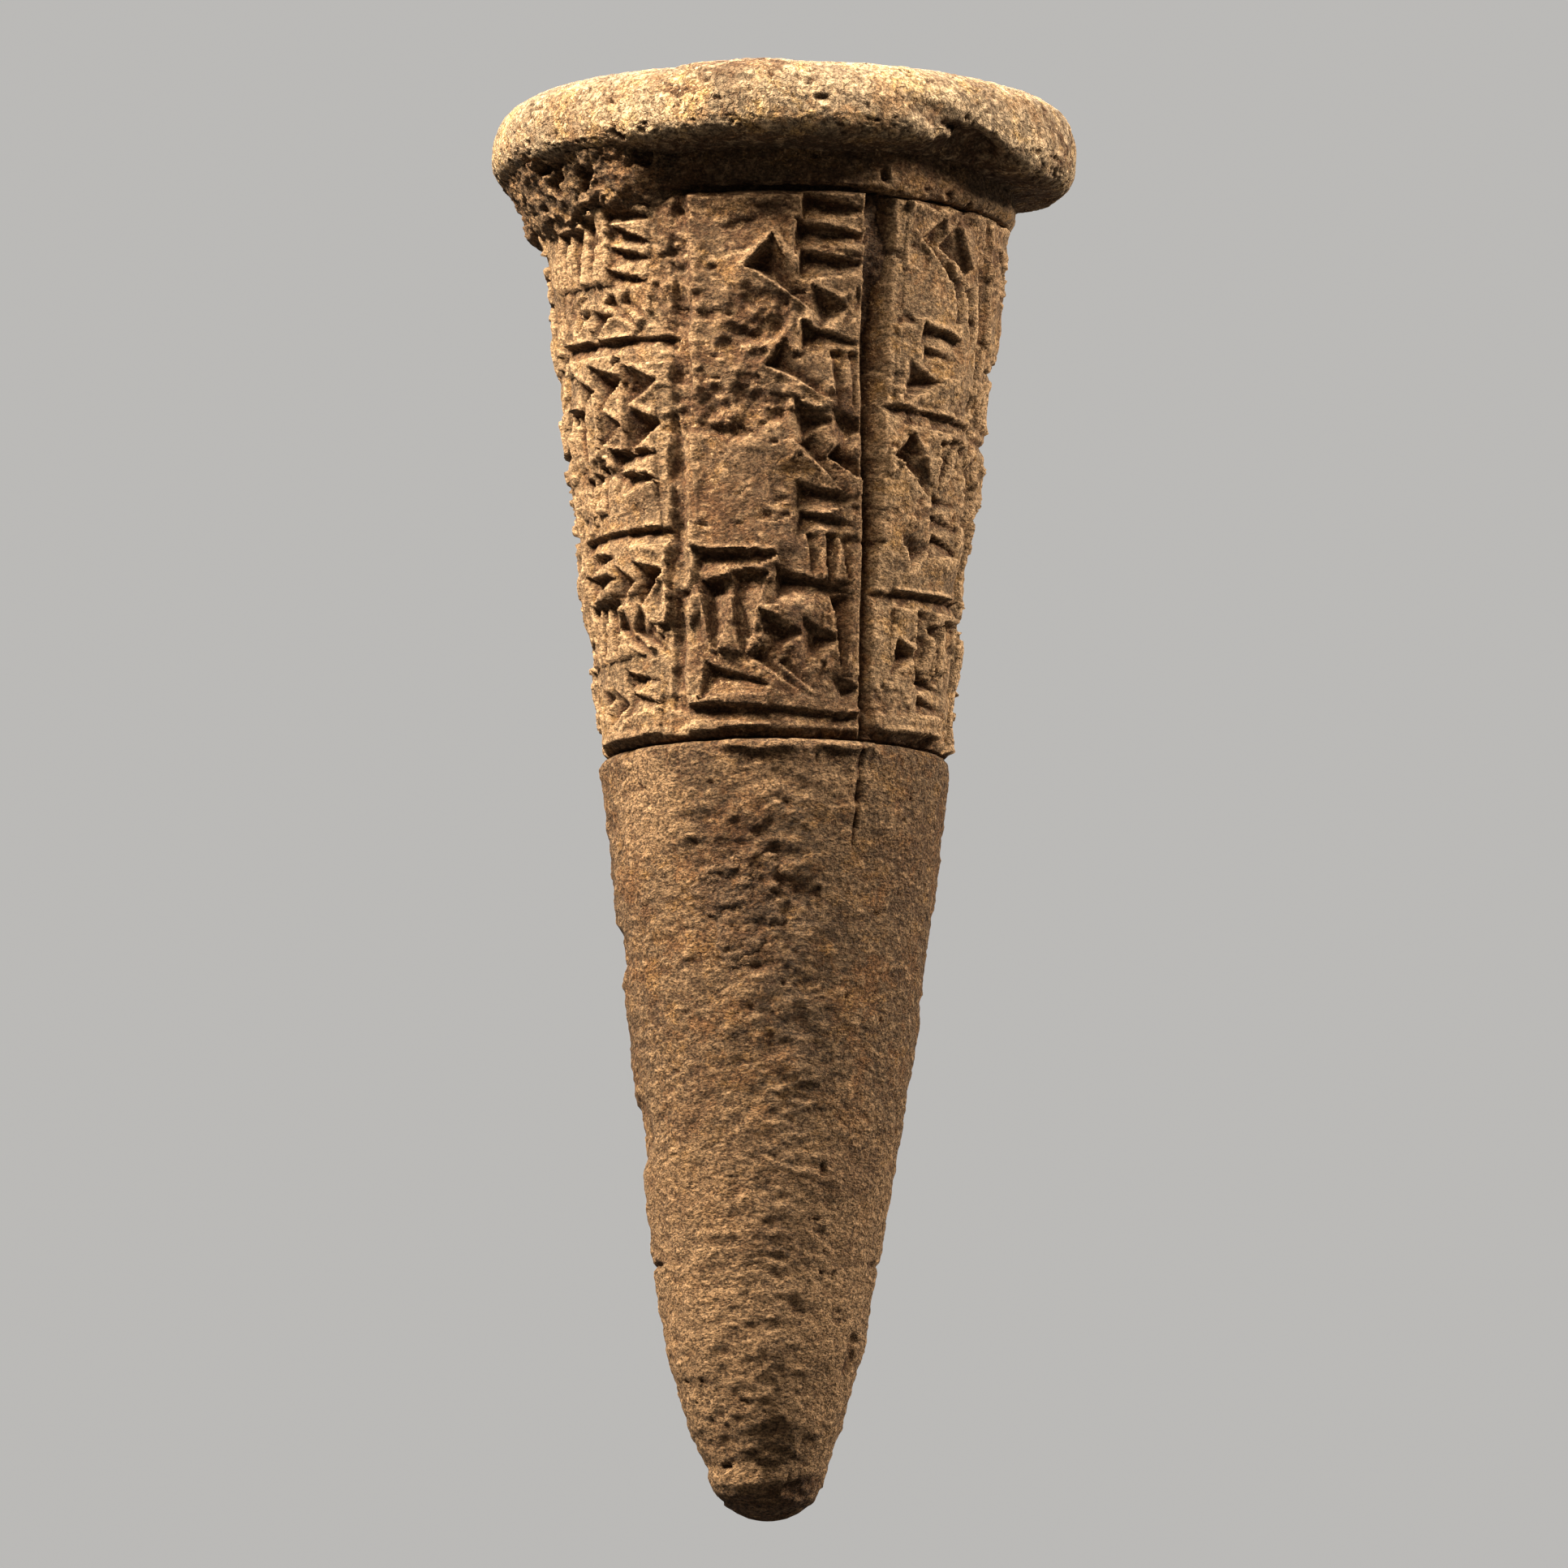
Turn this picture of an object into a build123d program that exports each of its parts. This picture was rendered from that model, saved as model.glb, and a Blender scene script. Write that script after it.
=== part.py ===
from build123d import *
import math
import os

# A fired clay foundation cone: a tapered peg with a wide head, made of lumps of clay luted together wet.
# Z = 0 is the flat top of the head, Z is the axis of the peg, and the peg points down to -Z.
# Depths are measured down from Z = 0. Azimuths are degrees round the axis from the front, -Y, towards +X.
# Sizes are millimetres.

# Lengths along the peg, from the top down
head_thickness = 9.0
collar_height = 3.4
field_length = 51.6
shaft_length = 48.6
tip_length = 24.4

# Head: a disc with a thick coil of clay wrapped round its edge, a little off the peg's axis
head_radius = 28.0
head_offset = 0.9
disc_radius = 20.0
disc_edge_round = 0.4
coil_set_down = 0.3
coil_top_round = 4.8
coil_bottom_round = 2.2
coil_lip_rise = 1.0
coil_seat_margin = 0.2

# Neck: a smooth band under the head, standing a little proud of the writing field
neck_step = 0.4
collar_round = 0.7

# Writing field: a sleeve of finer clay wrapped round the core
field_top_radius = 22.4
field_foot_radius = 16.9
sleeve_wall = 5.0
sleeve_edge_round = 0.6
sleeve_foot_round = 1.0

# Plain shaft and tip
shaft_top_radius = 16.7
shaft_end_radius = 10.6
shoulder_round = 0.9
seam_round = 0.5
nose_radius = 6.0

# Joints inside the peg
slip_gap = 0.1
tenon_radius = 11.0
tenon_height = 4.6
tenon_draft = 0.6
stub_radius = 5.6
stub_length = 7.0
stub_draft = 0.8

# Rulings that part the writing field into strips: azimuth under the collar, and azimuth at the field's foot
rulings = [(-70, -86), (-24, -33), (27, 31), (65, 80), (113, 122), (160, 163), (206, 204), (250, 240)]
ruling_width = 1.6
ruling_bite = 1.0
wide_ruling_index = 2
wide_ruling_width = 3.4
wide_ruling_bite = 2.0
case_ruling_width = 1.4
case_ruling_bite = 0.8
ruling_spans = 3
ruling_overrun = 1.0

# Strokes pressed with the corner of a cut reed: a stake stands, a bar lies, a hook is a short slanting pit
stroke_length = 6.8
stroke_width = 3.4
stroke_bite = 1.7
stroke_pitch = 2.45
hook_length = 4.2
hook_width = 4.2
hook_bite = 2.1
hook_pitch = 4.0
tilts = {"stakes": 0, "bars": 90, "slants": 45, "hooks": 35}

# The steep side of a groove that runs down: -1 puts its deepest line on its left edge, and 1 on its right edge
steep_sides = {"stakes": -0.6, "bars": 0.6, "slants": -0.6, "hooks": 0.0}
wide_ruling_side = -0.5

# Lines across each strip, as lengths below the field's top
case_lines = [
    (13.3, 31.6), (49.0,), (20.5, 37.6), (21.0, 38.0), (16.5, 35.0), (25.5,), (15.5, 36.0), (22.5, 41.0),
]

# Groups of strokes in each strip: kind, count, share of the strip's width from its left ruling, length below
# the field's top, and size. Stakes, slants and hooks stand in a row, and bars lie one above the other.
strip_marks = [
    [
        ("stakes", 3, 0.28, 4.6, 0.9), ("bars", 4, 0.68, 4.8, 0.8), ("hooks", 2, 0.34, 10.4, 0.8),
        ("slants", 2, 0.68, 10.4, 0.7), ("hooks", 3, 0.46, 16.8, 1.0), ("stakes", 2, 0.18, 21.6, 0.8),
        ("hooks", 2, 0.60, 20.6, 1.0), ("bars", 2, 0.70, 25.6, 0.9), ("stakes", 3, 0.34, 27.4, 0.7),
        ("bars", 2, 0.32, 34.8, 0.9), ("hooks", 2, 0.66, 35.6, 0.9), ("stakes", 3, 0.34, 40.6, 0.9),
        ("slants", 2, 0.72, 41.2, 0.9), ("hooks", 2, 0.30, 46.4, 0.8), ("bars", 2, 0.70, 46.4, 0.9),
    ],
    [
        ("bars", 3, 0.76, 4.6, 1.1), ("slants", 1, 0.56, 9.2, 1.4), ("hooks", 2, 0.82, 10.6, 0.9),
        ("bars", 1, 0.78, 14.2, 1.1), ("stakes", 2, 0.86, 17.6, 0.8), ("slants", 1, 0.64, 17.8, 1.0),
        ("hooks", 2, 0.74, 22.0, 1.0), ("slants", 2, 0.84, 26.0, 1.0), ("bars", 2, 0.76, 30.2, 1.0),
        ("stakes", 3, 0.80, 34.4, 0.7), ("bars", 1, 0.72, 37.6, 1.2), ("bars", 1, 0.30, 34.6, 1.1),
        ("stakes", 2, 0.28, 39.8, 1.2), ("hooks", 2, 0.60, 41.2, 1.0), ("stakes", 1, 0.88, 41.8, 1.0),
        ("slants", 2, 0.60, 45.4, 0.8), ("hooks", 1, 0.86, 46.2, 0.9), ("bars", 1, 0.32, 46.4, 1.2),
    ],
    [
        ("slants", 2, 0.60, 4.8, 1.0), ("stakes", 2, 0.80, 10.6, 0.9), ("bars", 2, 0.54, 14.0, 0.8),
        ("hooks", 1, 0.32, 16.8, 1.0), ("stakes", 3, 0.72, 24.6, 0.7), ("slants", 1, 0.36, 25.8, 1.2),
        ("bars", 3, 0.68, 30.6, 0.8), ("hooks", 1, 0.32, 32.6, 1.0), ("stakes", 3, 0.64, 42.2, 0.9),
        ("hooks", 1, 0.30, 42.8, 0.9), ("bars", 2, 0.62, 46.8, 0.7),
    ],
    [
        ("hooks", 3, 0.50, 4.8, 1.0), ("bars", 3, 0.60, 11.0, 1.0), ("stakes", 2, 0.35, 17.0, 0.9),
        ("bars", 2, 0.55, 24.6, 1.0), ("slants", 2, 0.40, 29.6, 1.0), ("stakes", 3, 0.60, 34.0, 0.8),
        ("hooks", 2, 0.50, 42.0, 1.0), ("bars", 2, 0.50, 47.0, 0.9),
    ],
    [
        ("stakes", 4, 0.50, 4.6, 0.9), ("bars", 3, 0.55, 11.6, 0.9), ("hooks", 3, 0.50, 20.0, 1.0),
        ("slants", 2, 0.40, 25.0, 1.0), ("bars", 2, 0.60, 30.6, 1.0), ("stakes", 3, 0.50, 39.6, 0.9),
        ("hooks", 2, 0.50, 46.0, 1.0),
    ],
    [
        ("bars", 3, 0.45, 5.0, 1.0), ("stakes", 3, 0.55, 11.8, 1.0), ("hooks", 2, 0.50, 19.6, 1.1),
        ("slants", 2, 0.55, 30.0, 1.0), ("bars", 3, 0.50, 37.0, 0.9), ("stakes", 3, 0.50, 45.0, 0.9),
    ],
    [
        ("hooks", 3, 0.50, 4.6, 1.0), ("bars", 2, 0.50, 10.6, 1.0), ("stakes", 3, 0.50, 20.4, 1.0),
        ("slants", 2, 0.45, 27.0, 1.0), ("hooks", 2, 0.55, 32.0, 1.0), ("bars", 2, 0.50, 40.0, 0.9),
        ("stakes", 3, 0.50, 46.0, 0.8),
    ],
    [
        ("bars", 2, 0.50, 4.6, 1.0), ("stakes", 3, 0.50, 11.0, 1.0), ("hooks", 2, 0.50, 18.0, 1.0),
        ("bars", 3, 0.50, 28.0, 0.9), ("slants", 2, 0.50, 35.6, 1.0), ("stakes", 2, 0.50, 46.0, 0.9),
    ],
]

# Clay and soil lodged on the surface
lute_start = -112.0
lute_end = -30.0
lute_reach = 2.9
lute_drop = 5.3
lute_belly = 0.2
lap_azimuth = 39.0
lap_radius = 4.4
lap_bite = 2.6
groove_soil_length = 15.0
groove_soil_sink = 0.5
spall_azimuth = -13.0
spall_drop = 15.0
spall_sphere_radius = 16.0
spall_bite = 1.3
crust_sink = 0.3

# Sizes that follow from the ones above
neck_radius = field_top_radius + neck_step
collar_top = head_thickness
field_top = collar_top + collar_height
field_foot = field_top + field_length
seam_depth = field_foot + shaft_length
peg_depth = seam_depth + tip_length
shaft_taper = math.atan2(shaft_top_radius - shaft_end_radius, shaft_length)
field_taper = math.atan2(field_top_radius - field_foot_radius, field_length)


def field_radius(depth):
    """Radius of the writing face at a depth."""
    return field_top_radius - (depth - field_top) * math.tan(field_taper)


def shaft_radius(depth):
    """Radius of the plain shaft at a depth."""
    return shaft_top_radius - (depth - field_foot) * math.tan(shaft_taper)


def ruling_azimuth(number, depth):
    """Azimuth of a ruling at a depth; a number past the last ruling goes on round the cone."""
    turns, place = divmod(number, len(rulings))
    top, foot = rulings[place]
    return 360 * turns + top + (foot - top) * (depth - field_top) / field_length


def face_plane(azimuth, depth, radius, taper, heading=0.0):
    """Plane touching a tapered face: Z points out of the clay and X runs at a heading from straight down."""
    turn = math.radians(azimuth)
    radial = Vector(math.sin(turn), -math.cos(turn), 0)
    around = Vector(math.cos(turn), math.sin(turn), 0)
    down = radial * -math.sin(taper) + Vector(0, 0, -math.cos(taper))
    outward = radial * math.cos(taper) + Vector(0, 0, -math.sin(taper))
    aim = math.radians(heading)
    along = down * math.cos(aim) + around * math.sin(aim)
    return Plane(origin=radial * radius + Vector(0, 0, -depth), x_dir=along, z_dir=outward)


def field_plane(azimuth, depth, heading=0.0):
    """Plane touching the writing face."""
    return face_plane(azimuth, depth, field_radius(depth), field_taper, heading)


def stroke_cutter(length, width, bite, side):
    """A wedge that leaves a stroke of this length and width, deepest at its head and running out at its tail.

    It stands as far out of the clay as it bites in, so there it is twice as wide and reaches twice as far.
    """
    deepest = side * width / 2
    with BuildPart() as wedge:
        with BuildSketch(Plane(origin=(-length / 2, 0, 0), x_dir=(0, 1, 0), z_dir=(1, 0, 0))) as head:
            with BuildLine():
                Polyline((-width - deepest, bite), (width - deepest, bite), (deepest, -bite), close=True)
            make_face()
        loft(sections=[head.sketch, Vertex(2 * length - length / 2, 0, bite)])
    return wedge.part


def groove_body(planes, width, bite, top, side=0.0):
    """A V drawn through planes on the face, with X along the groove; top is the height of its open side."""
    sections = []
    deepest = side * width / 2
    spread = (bite + top) / bite
    left = deepest - (width / 2 + deepest) * spread
    right = deepest + (width / 2 - deepest) * spread
    for plane in planes:
        with BuildSketch(Plane(origin=plane.origin, x_dir=plane.y_dir, z_dir=plane.x_dir)) as section:
            with BuildLine():
                Polyline((left, top), (right, top), (deepest, -bite), close=True)
            make_face()
        sections.append(section.sketch)
    with BuildPart() as groove:
        loft(sections=sections, ruled=True)
    return groove.part


def ruling_body(number, upper, lower, sink=0.0, gap=0.0):
    """The V of one ruling between two depths: a cutter, or with a sink what lies in the cut."""
    wide = number == wide_ruling_index
    width = wide_ruling_width if wide else ruling_width
    bite = wide_ruling_bite if wide else ruling_bite
    side = wide_ruling_side if wide else 0
    top = -sink if sink else bite
    levels = [upper + (lower - upper) * n / ruling_spans for n in range(ruling_spans + 1)]
    planes = [field_plane(ruling_azimuth(number, level), level) for level in levels]
    return groove_body(planes, width * (bite - gap) / bite, bite - gap, top, side)


def case_line_body(strip, depth):
    """The V of a line between two cases, from the strip's left ruling to its right one."""
    left, right = ruling_azimuth(strip, depth), ruling_azimuth(strip + 1, depth)
    turns = [left + (right - left) * n / ruling_spans for n in range(ruling_spans + 1)]
    across = [field_plane(turn, depth, 90) for turn in turns]
    return groove_body(across, case_ruling_width, case_ruling_bite, case_ruling_bite)


def mark_strokes(strip, kind, count, across, drop, size):
    """The cutters of one group of strokes, each where it is pressed."""
    side = steep_sides[kind]
    if kind == "hooks":
        cutter = stroke_cutter(size * hook_length, size * hook_width, size * hook_bite, side)
        pitch = size * hook_pitch
    else:
        cutter = stroke_cutter(size * stroke_length, size * stroke_width, size * stroke_bite, side)
        pitch = size * stroke_pitch
    for n in range(count):
        step = (n - (count - 1) / 2) * pitch
        depth = field_top + drop + (step if kind == "bars" else 0)
        left, right = ruling_azimuth(strip, depth), ruling_azimuth(strip + 1, depth)
        turn = left + across * (right - left)
        if kind != "bars":
            turn += math.degrees(step / field_radius(depth))
        yield field_plane(turn, depth, tilts[kind]).location * cutter


# Spall on the front of the shaft, cut by a ball that dips into the face
spall_depth = field_foot + spall_drop
spall_out = shaft_radius(spall_depth) - spall_bite + spall_sphere_radius
spall_centre = face_plane(spall_azimuth, spall_depth, spall_out, shaft_taper).origin

# Core: the middle of the peg, the plain shaft below it, a tenon for the head and a stub for the tip
core_top_radius = field_top_radius - sleeve_wall
core_foot_radius = field_foot_radius - sleeve_wall
with BuildPart() as shaft_core:
    with BuildSketch(Plane.XZ):
        with BuildLine():
            Polyline(
                (0, -collar_top + tenon_height),
                (tenon_radius - tenon_draft, -collar_top + tenon_height),
                (tenon_radius, -collar_top),
                (core_top_radius, -collar_top),
                (core_top_radius, -field_top),
                (core_foot_radius, -field_foot),
                (shaft_top_radius, -field_foot),
                (shaft_end_radius, -seam_depth),
                (stub_radius, -seam_depth),
                (stub_radius - stub_draft, -seam_depth - stub_length),
                (0, -seam_depth - stub_length),
                close=True,
            )
        make_face()
    revolve(axis=Axis.Z)
    for depth, radius in ((field_foot, shoulder_round), (seam_depth, seam_round)):
        rings = shaft_core.edges().filter_by(GeomType.CIRCLE).filter_by_position(Axis.Z, -depth, -depth)
        fillet(rings.sort_by(SortBy.RADIUS)[-1], radius)
    with Locations(spall_centre):
        Sphere(spall_sphere_radius, mode=Mode.SUBTRACT)
shaft_core.part.label = "shaft_core"

# Tip: a lump worked onto the stub and drawn in to a blunt nose, its flank in line with the shaft
tip_top = seam_depth + slip_gap
flank_start = Vector(shaft_end_radius, -tip_top)
flank_inward = Vector(-math.cos(shaft_taper), math.sin(shaft_taper))
nose_centre = Vector(0, nose_radius - peg_depth)
start_from_nose = flank_start - nose_centre
flank_radius = (start_from_nose.dot(start_from_nose) - nose_radius**2) / (
    -2 * (start_from_nose.dot(flank_inward) + nose_radius)
)
flank_centre = flank_start + flank_inward * flank_radius
nose_start = flank_centre + (nose_centre - flank_centre).normalized() * flank_radius
with BuildPart() as shaft_tip:
    with BuildSketch(Plane.XZ):
        with BuildLine():
            RadiusArc(flank_start, nose_start, flank_radius)
            RadiusArc(nose_start, (0, -peg_depth), nose_radius)
            Polyline((0, -peg_depth), (0, -tip_top), flank_start)
        make_face()
    revolve(axis=Axis.Z)
    with BuildSketch(Plane.XZ):
        with BuildLine():
            Polyline(
                (0, -seam_depth),
                (stub_radius + slip_gap, -seam_depth),
                (stub_radius + slip_gap - stub_draft, -seam_depth - stub_length - slip_gap),
                (0, -seam_depth - stub_length - slip_gap),
                close=True,
            )
        make_face()
    revolve(axis=Axis.Z, mode=Mode.SUBTRACT)
    rings = shaft_tip.edges().filter_by(GeomType.CIRCLE)
    fillet(rings.filter_by_position(Axis.Z, -tip_top, -tip_top).sort_by(SortBy.RADIUS)[-1], seam_round)
shaft_tip.part.label = "shaft_tip"

# Sleeve: the writing field round the core, with its rulings and strokes
cut_top = field_top - ruling_overrun
cut_foot = field_foot + ruling_overrun
ruling_cutters = [ruling_body(number, cut_top, cut_foot) for number in range(len(rulings))]
line_cutters = []
strokes = []
for strip, (lines, groups) in enumerate(zip(case_lines, strip_marks)):
    line_cutters += [case_line_body(strip, field_top + drop) for drop in lines]
    for group in groups:
        strokes += mark_strokes(strip, *group)
with BuildPart() as writing_sleeve:
    with BuildSketch(Plane.XZ):
        with BuildLine():
            Polyline(
                (core_top_radius + slip_gap, -field_top),
                (field_top_radius, -field_top),
                (field_foot_radius, -field_foot + slip_gap),
                (core_foot_radius + slip_gap, -field_foot + slip_gap),
                close=True,
            )
        make_face()
    revolve(axis=Axis.Z)
    outer_rings = writing_sleeve.edges().filter_by(GeomType.CIRCLE).sort_by(Axis.Z)
    fillet([outer_rings.sort_by(SortBy.RADIUS)[-1]], sleeve_edge_round)
    foot_rings = writing_sleeve.edges().filter_by(GeomType.CIRCLE).sort_by(Axis.Z)[:2]
    fillet(foot_rings.sort_by(SortBy.RADIUS)[-1], sleeve_foot_round)
    add(ruling_cutters + line_cutters, mode=Mode.SUBTRACT)
    add(strokes, mode=Mode.SUBTRACT)
writing_sleeve.part.label = "writing_sleeve"

# Collar: the smooth band that closes the neck over the top of the field
with BuildPart() as neck_collar:
    with BuildSketch(Plane.XZ):
        with BuildLine():
            Polyline(
                (core_top_radius + slip_gap, -collar_top - slip_gap),
                (neck_radius, -collar_top - slip_gap),
                (neck_radius, -field_top + slip_gap),
                (core_top_radius + slip_gap, -field_top + slip_gap),
                close=True,
            )
        make_face()
    revolve(axis=Axis.Z)
    lowest_rings = neck_collar.edges().filter_by(GeomType.CIRCLE).group_by(Axis.Z)[0]
    fillet(lowest_rings.sort_by(SortBy.RADIUS)[-1], collar_round)
neck_collar.part.label = "neck_collar"

# Head disc: the flat middle of the head, socketed over the tenon
with BuildPart() as head_disc:
    with BuildSketch(Plane.XY):
        with Locations((head_offset, 0)):
            Circle(disc_radius)
    extrude(amount=-collar_top)
    top_ring = head_disc.edges().filter_by(GeomType.CIRCLE).sort_by(Axis.Z)[-1]
    fillet(top_ring, disc_edge_round)
    with BuildSketch(Plane.XZ):
        with BuildLine():
            Polyline(
                (0, -collar_top),
                (tenon_radius + slip_gap, -collar_top),
                (tenon_radius + slip_gap - tenon_draft, -collar_top + tenon_height + slip_gap),
                (0, -collar_top + tenon_height + slip_gap),
                close=True,
            )
        make_face()
    revolve(axis=Axis.Z, mode=Mode.SUBTRACT)
head_disc.part.label = "head_disc"

# Coil: the thick rounded rim, with a bite out of its lower edge where its two ends were lapped; its underside
# is flat over the collar and rises outwards to the lip
coil_bore = disc_radius + slip_gap
coil_seat_radius = neck_radius + head_offset + coil_seat_margin
coil_lip_depth = head_thickness - coil_lip_rise
coil_axis = Axis((head_offset, 0, 0), (0, 0, 1))
lap_turn = math.radians(lap_azimuth)
lap_out = head_radius - lap_bite + lap_radius
lap_centre = (head_offset + lap_out * math.sin(lap_turn), -lap_out * math.cos(lap_turn), -head_thickness)
with BuildPart() as rim_coil:
    with BuildSketch(Plane.XZ):
        with BuildLine():
            Polyline(
                (head_offset + coil_bore, -coil_set_down),
                (head_offset + head_radius, -coil_set_down),
                (head_offset + head_radius, -coil_lip_depth),
                (head_offset + coil_seat_radius, -head_thickness),
                (head_offset + coil_bore, -head_thickness),
                close=True,
            )
        make_face()
    revolve(axis=coil_axis)
    outer_rings = rim_coil.edges().filter_by(GeomType.CIRCLE).group_by(SortBy.RADIUS)[-1].sort_by(Axis.Z)
    fillet(outer_rings[-1], coil_top_round)
    lip_rings = rim_coil.edges().filter_by(GeomType.CIRCLE).filter_by_position(
        Axis.Z, -coil_lip_depth, -coil_lip_depth
    )
    fillet(lip_rings, coil_bottom_round)
    with Locations(lap_centre):
        Sphere(lap_radius, mode=Mode.SUBTRACT)
rim_coil.part.label = "rim_coil"

# Luting: rough clay pressed into the corner under the left of the rim, over the collar and the field's edge
lute_foot = collar_top + lute_drop
lute_outer = neck_radius + lute_reach
lute_field_radius = field_radius(lute_foot) + slip_gap
with BuildPart() as neck_luting:
    with BuildSketch(Plane.XZ):
        with BuildLine():
            Polyline(
                (lute_field_radius, -lute_foot),
                (field_top_radius + slip_gap, -field_top),
                (neck_radius + slip_gap, -field_top),
                (neck_radius + slip_gap, -collar_top - slip_gap),
                (lute_outer, -collar_top - slip_gap),
            )
            ThreePointArc(
                (lute_outer, -collar_top - slip_gap),
                ((lute_outer + lute_field_radius) / 2 + lute_belly, -collar_top - lute_drop / 2),
                (lute_field_radius, -lute_foot),
            )
        make_face()
    revolve(axis=Axis.Z, revolution_arc=lute_end - lute_start)
neck_luting.part = neck_luting.part.rotate(Axis.Z, lute_start - 90)
neck_luting.part.label = "neck_luting"

# Soil lodged in the top of the wide ruling
with BuildPart() as groove_soil:
    soil_top = field_top + slip_gap
    soil_foot = field_top + groove_soil_length
    add(ruling_body(wide_ruling_index, soil_top, soil_foot, groove_soil_sink, slip_gap))
groove_soil.part.label = "groove_soil"

# Crust of soil in the spall on the front of the shaft
with BuildPart() as shaft_crust:
    with Locations(spall_centre):
        Sphere(spall_sphere_radius - slip_gap)
    with BuildSketch(Plane.XZ):
        with BuildLine():
            Polyline(
                (0, -field_foot),
                (shaft_top_radius - crust_sink, -field_foot),
                (shaft_end_radius - crust_sink, -seam_depth),
                (0, -seam_depth),
                close=True,
            )
        make_face()
    revolve(axis=Axis.Z, mode=Mode.INTERSECT)
shaft_crust.part.label = "shaft_crust"

pieces = [
    shaft_core,
    shaft_tip,
    writing_sleeve,
    neck_collar,
    head_disc,
    rim_coil,
    neck_luting,
    groove_soil,
    shaft_crust,
]
os.makedirs("parts", exist_ok=True)
for piece in pieces:
    export_step(piece.part, f"parts/{piece.part.label}.step")
    print(piece.part.label, len(piece.solids()), round(piece.part.volume, 1))
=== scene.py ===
import math
from functools import partial
from itertools import product

import bmesh
import bpy
import numpy as np
from bpy.props import FloatProperty, FloatVectorProperty, IntProperty, PointerProperty
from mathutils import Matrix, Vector


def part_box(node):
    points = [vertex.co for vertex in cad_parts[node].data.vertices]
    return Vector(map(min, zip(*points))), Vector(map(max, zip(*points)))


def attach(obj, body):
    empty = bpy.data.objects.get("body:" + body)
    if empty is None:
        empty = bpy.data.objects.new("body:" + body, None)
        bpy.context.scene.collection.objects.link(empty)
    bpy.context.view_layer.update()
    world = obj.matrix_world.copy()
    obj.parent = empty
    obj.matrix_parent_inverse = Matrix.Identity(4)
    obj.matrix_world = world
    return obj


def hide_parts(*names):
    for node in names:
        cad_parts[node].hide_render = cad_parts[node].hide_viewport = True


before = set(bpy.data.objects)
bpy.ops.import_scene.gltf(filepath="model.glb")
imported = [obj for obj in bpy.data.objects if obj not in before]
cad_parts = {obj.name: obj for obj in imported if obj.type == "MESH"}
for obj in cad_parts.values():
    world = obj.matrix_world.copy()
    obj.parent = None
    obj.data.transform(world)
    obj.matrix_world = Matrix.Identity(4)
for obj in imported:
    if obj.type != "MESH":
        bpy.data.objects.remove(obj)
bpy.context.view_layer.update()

bl_info = {
    "name": "Foundation cone",
    "version": (1, 0, 0),
    "blender": (4, 5, 0),
    "location": "3D View > Sidebar > Cone",
    "description": "Models the worn, carved clay of a foundation cone round its packed solids",
    "category": "Object",
}

# Lengths are in millimetres, apart from those of the settings, lights and camera, which are in metres. Depths
# are measured down from the flat top of the head, and azimuths in degrees from the front, -Y, towards +X.
MM = 0.001


def node_depths(node):
    """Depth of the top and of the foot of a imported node."""
    low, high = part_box(node)
    return -high[2] / MM, -low[2] / MM


def node_round(node):
    """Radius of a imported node, and the place of its middle along X."""
    low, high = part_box(node)
    return (high[0] - low[0]) / 2 / MM, (high[0] + low[0]) / 2 / MM


COLLAR_TOP, COLLAR_FOOT = node_depths("neck_collar")
FIELD_TOP, FIELD_FOOT = node_depths("writing_sleeve")
SEAM, PEG_END = node_depths("shaft_tip")
RIM_TOP, RIM_FOOT = node_depths("rim_coil")
SOIL_TOP, SOIL_FOOT = node_depths("groove_soil")
HEAD_RADIUS, HEAD_OFFSET = node_round("rim_coil")
DISC_RADIUS, _ = node_round("head_disc")
NECK_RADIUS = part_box("neck_collar")[1][0] / MM

# Outline of the peg: depth and radius of its face where its taper changes
PEG_DEPTHS = (12.4, 64.0, 90.0, 112.6, 121.0, 128.0, 133.0)
PEG_RADII = (22.4, 16.6, 13.75, 10.65, 9.35, 7.35, 5.2)
NOSE_RADIUS = 6.0

# How the peg's axis bends to the left towards the tip: depth, and shift along X
LEAN_DEPTHS = (0.0, 70.0, 98.0, 114.0, 126.0, 137.0)
LEAN_SHIFTS = (0.0, 0.0, -0.35, -1.0, -0.95, -0.7)

# Rulings between the strips of the writing field: azimuth under the collar and azimuth at the foot
RULINGS = ((-70, -86), (-24, -33), (27, 31), (65, 80), (113, 122), (160, 163), (206, 204), (250, 240))
WIDE_RULING = 2
JAGGED_RULING = 1

# Middle of the dark crust on the shaft, as azimuth and depth, and the depths between which it is modelled
CRUST_PLACE = (-13.0, 79.0)
CRUST_TOP, CRUST_FOOT = 70, 89

# Middle of the gouged notch where the rim's two ends are lapped, and its slant in degrees for each mm down
NOTCH_PLACE = (42, 7.8)
NOTCH_SLANT = 4.2

# Lines across each strip, as lengths below the field's top
CASE_LINES = (
    (13.3, 31.6), (49.0,), (20.5, 37.6), (21.0, 38.0), (16.5, 35.0), (25.5,), (15.5, 36.0), (22.5, 41.0),
)

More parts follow.
